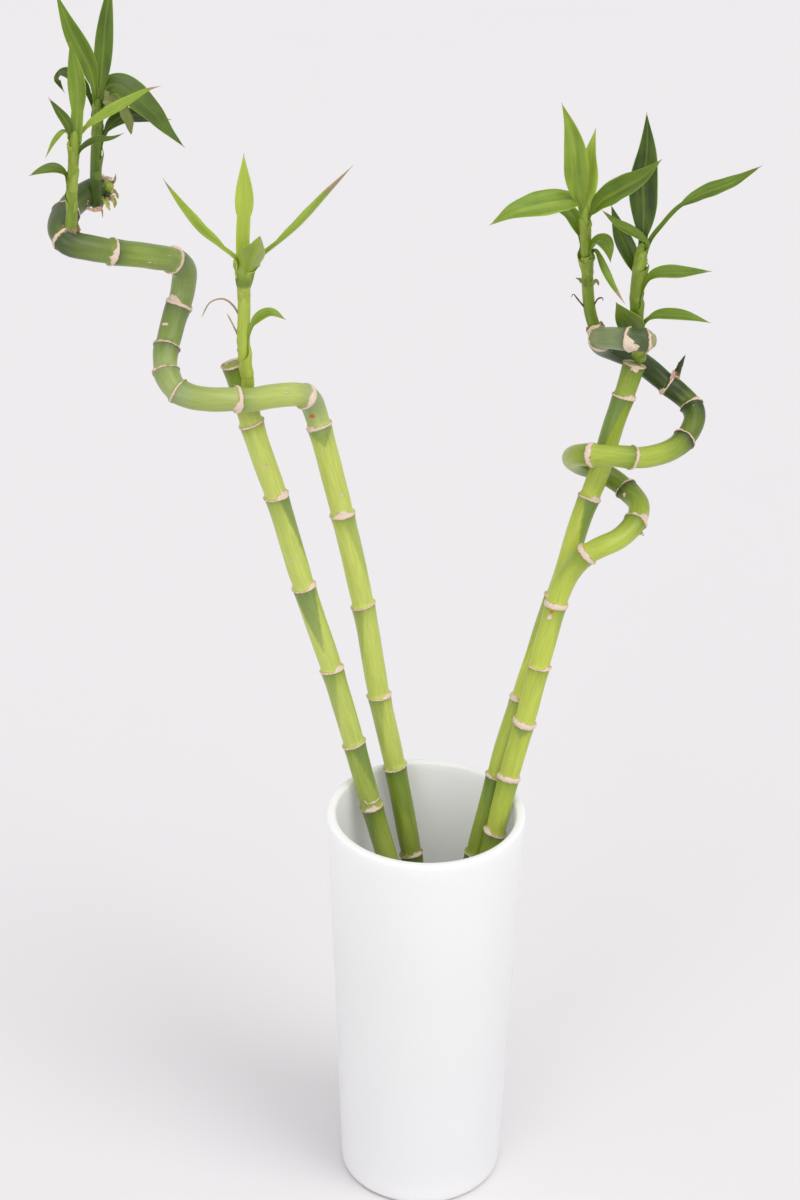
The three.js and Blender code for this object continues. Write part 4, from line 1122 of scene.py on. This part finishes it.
class BAMBOO_OT_water(bpy.types.Operator):
    """Makes the water, with the canes' room cut out of it."""

    bl_idname = "bamboo.water"
    bl_label = "Make water"

    def execute(self, context):
        vase, water = context.scene.bamboo_vase, context.scene.bamboo_water
        rings = water_rings(vase, water)
        level = water.level / MM
        edge = outside_radius(vase, level) - vase.wall / MM
        on_top = rings[..., 2] > level - 0.01
        reach = edge - np.linalg.norm(rings[..., :2], axis=-1)
        cutters = []
        for name, cane in CANES.items():
            line = cane_line(cane)
            # Where the cane comes out of the water.
            low = line.at(np.linspace(0, 120, 241))
            cross = low[np.abs(low[:, 2] - level).argmin()]
            gap = np.linalg.norm(rings[..., :2] - cross[:2], axis=-1) - cane["radius"][0]
            reach = np.minimum(reach, np.maximum(gap, 0))
            stations = np.linspace(0, CUTTER_UP, CUTTER_ROWS)
            ways = line.way(stations)
            out = spokes(*carried_frame(ways, FRONT), circle(CUTTER_SIDES))
            tube = Shell()
            middles = line.at(stations)
            middles[0] -= ways[0] * CUTTER_DOWN
            radius = cane["radius"][0] - CUTTER_THINNER
            tube.add_skin(middles[:, None] + out * radius, {})
            cutters.append(tube.build("cutter_" + name, None))
        rings[..., 2] += on_top * (water.meniscus / MM) * (np.exp(-reach / CLIMB_FADE) - 0.1)
        shell = Shell()
        shell.add_skin(rings, {})
        piece = shell.build("still_water", still_water(water))
        for cutter in cutters:
            cut = piece.modifiers.new(cutter.name, "BOOLEAN")
            cut.object = cutter
            cut.operation = "DIFFERENCE"
            cut.solver = "EXACT"
        settled = bpy.data.meshes.new_from_object(
            piece.evaluated_get(context.evaluated_depsgraph_get()))
        piece.modifiers.clear()
        piece.data = settled
        settled.shade_smooth()
        for cutter in cutters:
            bpy.data.objects.remove(cutter)
        finish_piece(piece, "water", "water")
        return {"FINISHED"}


def make_canes(settings, *names):
    """Makes the canes of these names, each with its own skin."""
    for name in names:
        cane = CANES[name]
        material = living_cane(settings, "living_" + name, getattr(settings, cane["skin"]))
        finish_piece(build_cane(name, material), cane["slot"], name)


class BAMBOO_OT_straight_canes(bpy.types.Operator):
    """Makes the two straight canes."""

    bl_idname = "bamboo.straight_canes"
    bl_label = "Make straight canes"

    def execute(self, context):
        make_canes(context.scene.bamboo_cane, "cane_left_straight", "cane_right_straight")
        return {"FINISHED"}


class BAMBOO_OT_coiled_canes(bpy.types.Operator):
    """Makes the two coiled canes."""

    bl_idname = "bamboo.coiled_canes"
    bl_label = "Make coiled canes"

    def execute(self, context):
        make_canes(context.scene.bamboo_cane, "cane_left_coiled", "cane_right_coiled")
        return {"FINISHED"}


class BAMBOO_OT_shoots(bpy.types.Operator):
    """Makes the five leafy shoots."""

    bl_idname = "bamboo.shoots"
    bl_label = "Make leafy shoots"

    def execute(self, context):
        material = living_leaf(context.scene.bamboo_leaf)
        for number, name in enumerate(SHOOTS):
            seed = FIRST_SEED + SEED_STEP * number
            finish_piece(build_shoot(name, material, seed), "leaf", name)
        return {"FINISHED"}


# Materials

MULTIPLY = {"data_type": "RGBA", "blend_type": "MULTIPLY"}
COLOURS = {"data_type": "RGBA"}
RANGE = ("Value", "From Min", "From Max", "To Min", "To Max")
NOISE = ("Vector", "Scale", "Detail", "Roughness")


def add_node(tree, kind, inputs=None, **settings):
    """Adds a node. inputs gives sockets, by name or number, a value or what feeds them."""
    node = tree.nodes.new("ShaderNode" + kind)
    for key, value in settings.items():
        setattr(node, key, value)
    for key, value in (inputs or {}).items():
        if isinstance(key, int):
            socket = node.inputs[key]
        else:
            socket = next(s for s in node.inputs if s.name == key and s.enabled)
        if isinstance(value, bpy.types.Node):
            value = next(s for s in value.outputs if s.enabled)
        if isinstance(value, bpy.types.NodeSocket):
            tree.links.new(value, socket)
        else:
            socket.default_value = value
    return node


def new_material(name):
    """An empty node material and its tree."""
    material = bpy.data.materials.new(name)
    material.use_nodes = True
    material.node_tree.nodes.clear()
    return material, material.node_tree


def close_material(tree, shader_inputs, height=None, depth=0.0):
    """Adds the surface shader, its bump of this depth in metres and the output."""
    if height is not None:
        bump = add_node(tree, "Bump", {"Height": height, "Distance": depth, "Strength": 1.0})
        shader_inputs = dict(shader_inputs, Normal=bump)
    shader = add_node(tree, "BsdfPrincipled", shader_inputs)
    add_node(tree, "OutputMaterial", {"Surface": shader})


def cast_porcelain(vase):
    """Porcelain, slip cast and glazed: an even white that shines softly, with faint waves in the
    glaze and a bare, chalky underside."""
    material, tree = new_material("cast_porcelain_satin_glaze")
    where = add_node(tree, "TexCoord").outputs["Object"]
    height = add_node(tree, "SeparateXYZ", {"Vector": where}).outputs["Z"]
    # The glaze waves every 6 mm and its white drifts every 90 mm.
    wave, cloud = (add_node(tree, "TexNoise", dict(zip(NOISE, (where, *row))))
                   for row in ((1 / 0.006, 2.0, 0.4), (1 / 0.09, 1.0, 0.5)))
    shade, bare, gloss = (add_node(tree, "MapRange", dict(zip(RANGE, row))) for row in (
        (cloud, 0, 1, 0.985, 1), (height, 0.0002, 0.0005, 1, 0), (wave, 0, 1, 0.3, 0.38)))
    tone = add_node(tree, "Mix", {"Factor": 1.0, "A": vase.glaze, "B": shade}, **MULTIPLY)
    base = add_node(tree, "Mix", {"Factor": bare, "A": tone, "B": vase.biscuit}, **COLOURS)
    rough = add_node(tree, "Mix", {"Factor": bare, "A": gloss, "B": 0.9}, data_type="FLOAT")
    # Thin porcelain lets some light through its wall.
    close_material(tree, {"Base Color": base, "Roughness": rough, "IOR": 1.5,
                          "Subsurface Weight": 1.0, "Subsurface Radius": (1.0, 1.0, 0.97),
                          "Subsurface Scale": 0.011}, wave, 0.00004)
    return material


def still_water(water):
    """Clear tap water, still: see-through, mirror smooth and barely tinted."""
    material, tree = new_material("clear_still_water")
    where = add_node(tree, "TexCoord").outputs["Object"]
    # Slow swells about 20 mm across.
    swell = add_node(tree, "TexNoise", {"Vector": where, "Scale": 1 / 0.02, "Detail": 1.0})
    # Alpha lets most light straight through, so that the vase's floor is lit under water too.
    close_material(tree, {"Base Color": water.tint, "Roughness": 0.02, "IOR": 1.333,
                          "Transmission Weight": 1.0, "Alpha": 0.3}, swell, 0.00005)
    return material


def living_cane(cane, name, light):
    """Living cane, waxy skin with corky leaf scars: satin green with fine lengthwise fibres, pale
    bloom, dark wedges under the rings and dull, cracked, cream scars."""
    material, tree = new_material(name)
    value = {key: add_node(tree, "Attribute", attribute_name=key).outputs["Fac"]
             for key in ("scar", "wedge", "red", "tone", "cut", "bloom")}
    grain = add_node(tree, "Attribute", attribute_name="grain").outputs["Vector"]
    # Noises in the grain, in millimetres: how much they are drawn out along the cane (1 is not at
    # all), their size, detail and roughness. Fibres are 0.5 mm apart and about 20 times as long.
    # Rubs are flecks of about 1 mm.
    for key, along, size, detail, rough in (
            ("fibre", 0.05, 0.55, 3, 0.6), ("streak", 0.16, 3.2, 2, 0.5),
            ("cloud", 1, 13, 2, 0.5), ("grit", 1, 0.45, 4, 0.7), ("rub", 0.4, 1.1, 1, 0.5),
            ("spots", 1, 1.8, 2, 0.5)):
        spread = add_node(tree, "VectorMath", {0: grain, 1: (1, 1, along)}, operation="MULTIPLY")
        row = (spread, 1 / size, detail, rough)
        value[key] = add_node(tree, "TexNoise", dict(zip(NOISE, row)))
    shift = add_node(tree, "Math", {0: value["streak"], 1: 0.34, 2: -0.17},
                     operation="MULTIPLY_ADD")
    tone = add_node(tree, "Math", {0: value["tone"], 1: shift}, operation="ADD", use_clamp=True)
    # Ragged scar edges: the scar's own depth in millimetres, broken up by the grit.
    ragged = add_node(tree, "Math", {0: value["grit"], 1: 0.9, 2: value["scar"]},
                      operation="MULTIPLY_ADD")
    # The two tone masks mix in middle and dark skin by tone, which holds the skin's own darkness
    # and the painted shade under the rings.
    for key, row in (
            ("older_and_shaded", (tone, 0, 0.5, 0, 1)), ("oldest_and_shaded", (tone, 0.5, 1, 0, 1)),
            ("lines", (value["fibre"], 0.3, 0.7, 0.86, 1.1)),
            ("dusty", (value["cloud"], 0.3, 0.7, 0.5, 1.3)),
            ("scuff", (value["rub"], 0.76, 0.8, 0, 0.6)),
            ("cork", (ragged, 0.42, 0.56, 0, 1)), ("inner", (ragged, 0.5, 0.9, 0, 1)),
            ("stain", (value["spots"], 0.42, 0.62, 0, 0.75)),
            ("cracks", (value["grit"], 0.32, 0.6, 0.78, 1.04))):
        value[key] = add_node(tree, "MapRange", dict(zip(RANGE, row)))
    wedge = add_node(tree, "Math", {0: value["wedge"], 1: 0.85}, operation="MULTIPLY")
    powder = add_node(tree, "Math", {0: value["dusty"], 1: value["bloom"]}, operation="MULTIPLY",
                      use_clamp=True)
    cork = cane.scar_edge
    for factor, coat, kind in ((value["stain"], cane.scar, COLOURS),
                               (value["inner"], cane.scar, COLOURS),
                               (1.0, value["cracks"], MULTIPLY)):
        cork = add_node(tree, "Mix", {"Factor": factor, "A": cork, "B": coat}, **kind)
    skin = light
    for factor, coat, kind in (
            (value["older_and_shaded"], cane.middle, COLOURS), (value["oldest_and_shaded"], cane.dark, COLOURS),
            (wedge, cane.wedge, COLOURS), (1.0, value["lines"], MULTIPLY),
            (powder, cane.bloom, COLOURS), (value["scuff"], cane.scar, COLOURS),
            (value["cut"], cane.cut, COLOURS), (value["cork"], cork, COLOURS),
            (value["red"], cane.red, COLOURS)):
        skin = add_node(tree, "Mix", {"Factor": factor, "A": skin, "B": coat}, **kind)
    rough = add_node(tree, "Mix", {"Factor": value["cork"], "A": 0.36, "B": 0.85},
                     data_type="FLOAT")
    height = add_node(tree, "Math", {0: value["fibre"], 1: 0.3}, operation="MULTIPLY")
    height = add_node(tree, "Math", {0: value["grit"], 1: value["cork"], 2: height},
                      operation="MULTIPLY_ADD")
    close_material(tree, {"Base Color": skin, "Roughness": rough, "IOR": 1.45}, height, 0.00018)
    return material


def living_leaf(leaf):
    """Living leaf with a thin wax skin: satin green that lets light through, with fine side by
    side veins, a pale rib and margin, a paler underside and brown, papery dried tips."""
    material, tree = new_material("living_leaf_waxy")
    value = {key: add_node(tree, "Attribute", attribute_name=key).outputs["Fac"]
             for key in ("across", "under", "dry", "tone", "ribbon", "withered")}
    vein = add_node(tree, "Attribute", attribute_name="vein").outputs["Vector"]
    # Noises in millimetres, as on the canes: veins run along the blade and wander slowly.
    for key, along, size, detail, rough in (
            ("veins", 0.03, leaf.vein_spacing / MM, 3, 0.65), ("streak", 0.12, 3.5, 1, 0.5),
            ("patch", 1, 12, 2, 0.5)):
        spread = add_node(tree, "VectorMath", {0: vein, 1: (1, along, 1)}, operation="MULTIPLY")
        row = (spread, 1 / size, detail, rough)
        value[key] = add_node(tree, "TexNoise", dict(zip(NOISE, row)))
    shift = add_node(tree, "Math", {0: value["streak"], 1: 0.4, 2: -0.2}, operation="MULTIPLY_ADD")
    shift = add_node(tree, "Math", {0: value["patch"], 1: 0.3, 2: shift}, operation="MULTIPLY_ADD")
    tone = add_node(tree, "Math", {0: value["tone"], 1: shift}, operation="ADD")
    tone = add_node(tree, "Math", {0: tone, 1: 0.15}, operation="SUBTRACT", use_clamp=True)
    from_rib = add_node(tree, "Math", {0: value["across"]}, operation="ABSOLUTE")
    torn = add_node(tree, "Math", {0: value["veins"], 1: 0.5, 2: value["dry"]},
                    operation="MULTIPLY_ADD")
    # The two tone masks mix in middle and dark leaf by tone, which holds each blade's own darkness
    # and the painted shade on the back shoot and at the cup's base.
    for key, row in (
            ("older_and_shaded", (tone, 0, 0.5, 0, 1)), ("oldest_and_shaded", (tone, 0.5, 1, 0, 1)),
            ("lines", (value["veins"], 0.32, 0.68, 0.89, 1.09)),
            ("rib", (from_rib, 0.02, 0.14, 1, 0)), ("margin", (from_rib, 0.93, 0.985, 0, 0.45)),
            ("dried", (torn, 0.55, 0.95, 0, 1))):
        value[key] = add_node(tree, "MapRange", dict(zip(RANGE, row)))
    rib = add_node(tree, "Math", {0: value["rib"], 1: value["ribbon"]}, operation="MULTIPLY")
    pale = add_node(tree, "Math", {0: rib, 1: value["margin"]}, operation="MAXIMUM")
    below = add_node(tree, "Math", {0: value["under"], 1: 0.1}, operation="MULTIPLY")
    papery = leaf.dry
    for factor, coat, kind in ((value["withered"], leaf.withered, COLOURS),
                               (1.0, value["lines"], MULTIPLY)):
        papery = add_node(tree, "Mix", {"Factor": factor, "A": papery, "B": coat}, **kind)
    skin = leaf.light
    for factor, coat, kind in (
            (value["older_and_shaded"], leaf.middle, COLOURS), (value["oldest_and_shaded"], leaf.dark, COLOURS),
            (1.0, value["lines"], MULTIPLY), (pale, leaf.pale, COLOURS),
            (below, leaf.pale, COLOURS), (value["dried"], papery, COLOURS)):
        skin = add_node(tree, "Mix", {"Factor": factor, "A": skin, "B": coat}, **kind)
    rough = add_node(tree, "Mix", {"Factor": value["dried"], "A": 0.42, "B": 0.8},
                     data_type="FLOAT")
    close_material(tree, {"Base Color": skin, "Roughness": rough, "IOR": 1.45,
                          "Subsurface Weight": 0.25, "Subsurface Radius": (0.6, 1.0, 0.2),
                          "Subsurface Scale": 0.0012}, value["veins"], 0.00009)
    return material


def painted_floor(stage):
    """Board painted matt: a plain pale ground with a very faint unevenness."""
    material, tree = new_material("painted_board_matt")
    where = add_node(tree, "TexCoord").outputs["Object"]
    # The paint's tone drifts every 170 mm.
    cloud = add_node(tree, "TexNoise", {"Vector": where, "Scale": 6.0, "Detail": 3.0})
    shade = add_node(tree, "MapRange", {"Value": cloud, "To Min": 0.985, "To Max": 1.0})
    tone = add_node(tree, "Mix", {"Factor": 1.0, "A": stage.floor, "B": shade}, **MULTIPLY)
    close_material(tree, {"Base Color": tone, "Roughness": 0.65})
    return material


# Stage. Metres and degrees: the floor's radius and drop, how far the camera sees, and each light's
# place and spread.

FLOOR_RADIUS, FLOOR_SIDES, FLOOR_DROP, VIEW_END = 6.0, 96, 0.0005, 50.0
LIGHTS = {
    "front_light": ((-1.3, -2.2, 0.8), "key_strength", 34),
    "side_light": ((1.7, -1.2, 2.0), "side_strength", 34),
    "top_light": ((0.2, -0.3, 2.3), "top_strength", 40),
}


def add_light(name, place_at, strength, spread):
    """A far soft light that shines from place_at towards the origin and lights all alike."""
    data = bpy.data.lights.new(name, "SUN")
    data.angle = math.radians(spread)
    data.energy = strength
    light = bpy.data.objects.new(name, data)
    light.location = place_at
    light.rotation_euler = (-light.location).to_track_quat("-Z", "Y").to_euler()
    bpy.context.scene.collection.objects.link(light)


class BAMBOO_OT_stage(bpy.types.Operator):
    """Makes the floor, the soft light and the camera."""

    bl_idname = "bamboo.stage"
    bl_label = "Make stage"

    def execute(self, context):
        stage = context.scene.bamboo_stage
        angle = circle(FLOOR_SIDES)
        rim = np.stack([FLOOR_RADIUS * np.cos(angle), FLOOR_RADIUS * np.sin(angle),
                        0 * angle - FLOOR_DROP], -1)
        mesh = bpy.data.meshes.new("pale_floor")
        mesh.from_pydata(rim, [], [list(range(len(rim)))])
        mesh.materials.append(painted_floor(stage))
        place("pale_floor", mesh)

        world = bpy.data.worlds.new("even_light")
        world.use_nodes = True
        ground = world.node_tree.nodes["Background"]
        ground.inputs["Color"].default_value = stage.sky
        ground.inputs["Strength"].default_value = stage.sky_strength
        context.scene.world = world
        for name, (place_at, strength_name, spread) in LIGHTS.items():
            add_light(name, place_at, getattr(stage, strength_name), spread)

        forward = Vector((0, math.cos(CAMERA_PITCH), -math.sin(CAMERA_PITCH)))
        right = Vector((1, 0, 0))
        up = right.cross(forward)
        turned_right = right * math.cos(CAMERA_ROLL) + up * math.sin(CAMERA_ROLL)
        turned_up = up * math.cos(CAMERA_ROLL) - right * math.sin(CAMERA_ROLL)
        data = bpy.data.cameras.new("camera")
        data.lens = CAMERA_LENS
        data.clip_end = VIEW_END
        camera = bpy.data.objects.new("camera", data)
        turn = Matrix((turned_right, turned_up, -forward)).transposed()
        camera.matrix_world = Matrix.Translation(CAMERA_PLACE) @ turn.to_4x4()
        context.scene.collection.objects.link(camera)
        context.scene.camera = camera
        context.scene.view_settings.view_transform = "Standard"
        return {"FINISHED"}


SETTINGS = {
    "bamboo_vase": VaseSettings,
    "bamboo_water": WaterSettings,
    "bamboo_cane": CaneSettings,
    "bamboo_leaf": LeafSettings,
    "bamboo_stage": StageSettings,
}
OPERATORS = (
    BAMBOO_OT_vase,
    BAMBOO_OT_water,
    BAMBOO_OT_straight_canes,
    BAMBOO_OT_coiled_canes,
    BAMBOO_OT_shoots,
    BAMBOO_OT_stage,
)


class BAMBOO_PT_panel(bpy.types.Panel):
    """Lists the settings and the makers of the pieces."""

    bl_idname = "BAMBOO_PT_panel"
    bl_label = "Lucky bamboo"
    bl_space_type = "VIEW_3D"
    bl_region_type = "UI"
    bl_category = "Bamboo"

    def draw(self, context):
        for name, group in SETTINGS.items():
            box = self.layout.box()
            box.label(text=name.replace("bamboo_", "").title())
            for key in group.__annotations__:
                box.prop(getattr(context.scene, name), key)
        for operator in OPERATORS:
            self.layout.operator(operator.bl_idname)


CLASSES = (*SETTINGS.values(), *OPERATORS, BAMBOO_PT_panel)


def register():
    for kind in CLASSES:
        bpy.utils.register_class(kind)
    for name, group in SETTINGS.items():
        setattr(bpy.types.Scene, name, PointerProperty(type=group))


def unregister():
    for name in SETTINGS:
        delattr(bpy.types.Scene, name)
    for kind in reversed(CLASSES):
        bpy.utils.unregister_class(kind)


def main():
    """Makes every piece and the stage."""
    register()
    bpy.ops.bamboo.vase()
    bpy.ops.bamboo.water()
    bpy.ops.bamboo.straight_canes()
    bpy.ops.bamboo.coiled_canes()
    bpy.ops.bamboo.shoots()
    bpy.ops.bamboo.stage()


if __name__ == "__main__":
    main()
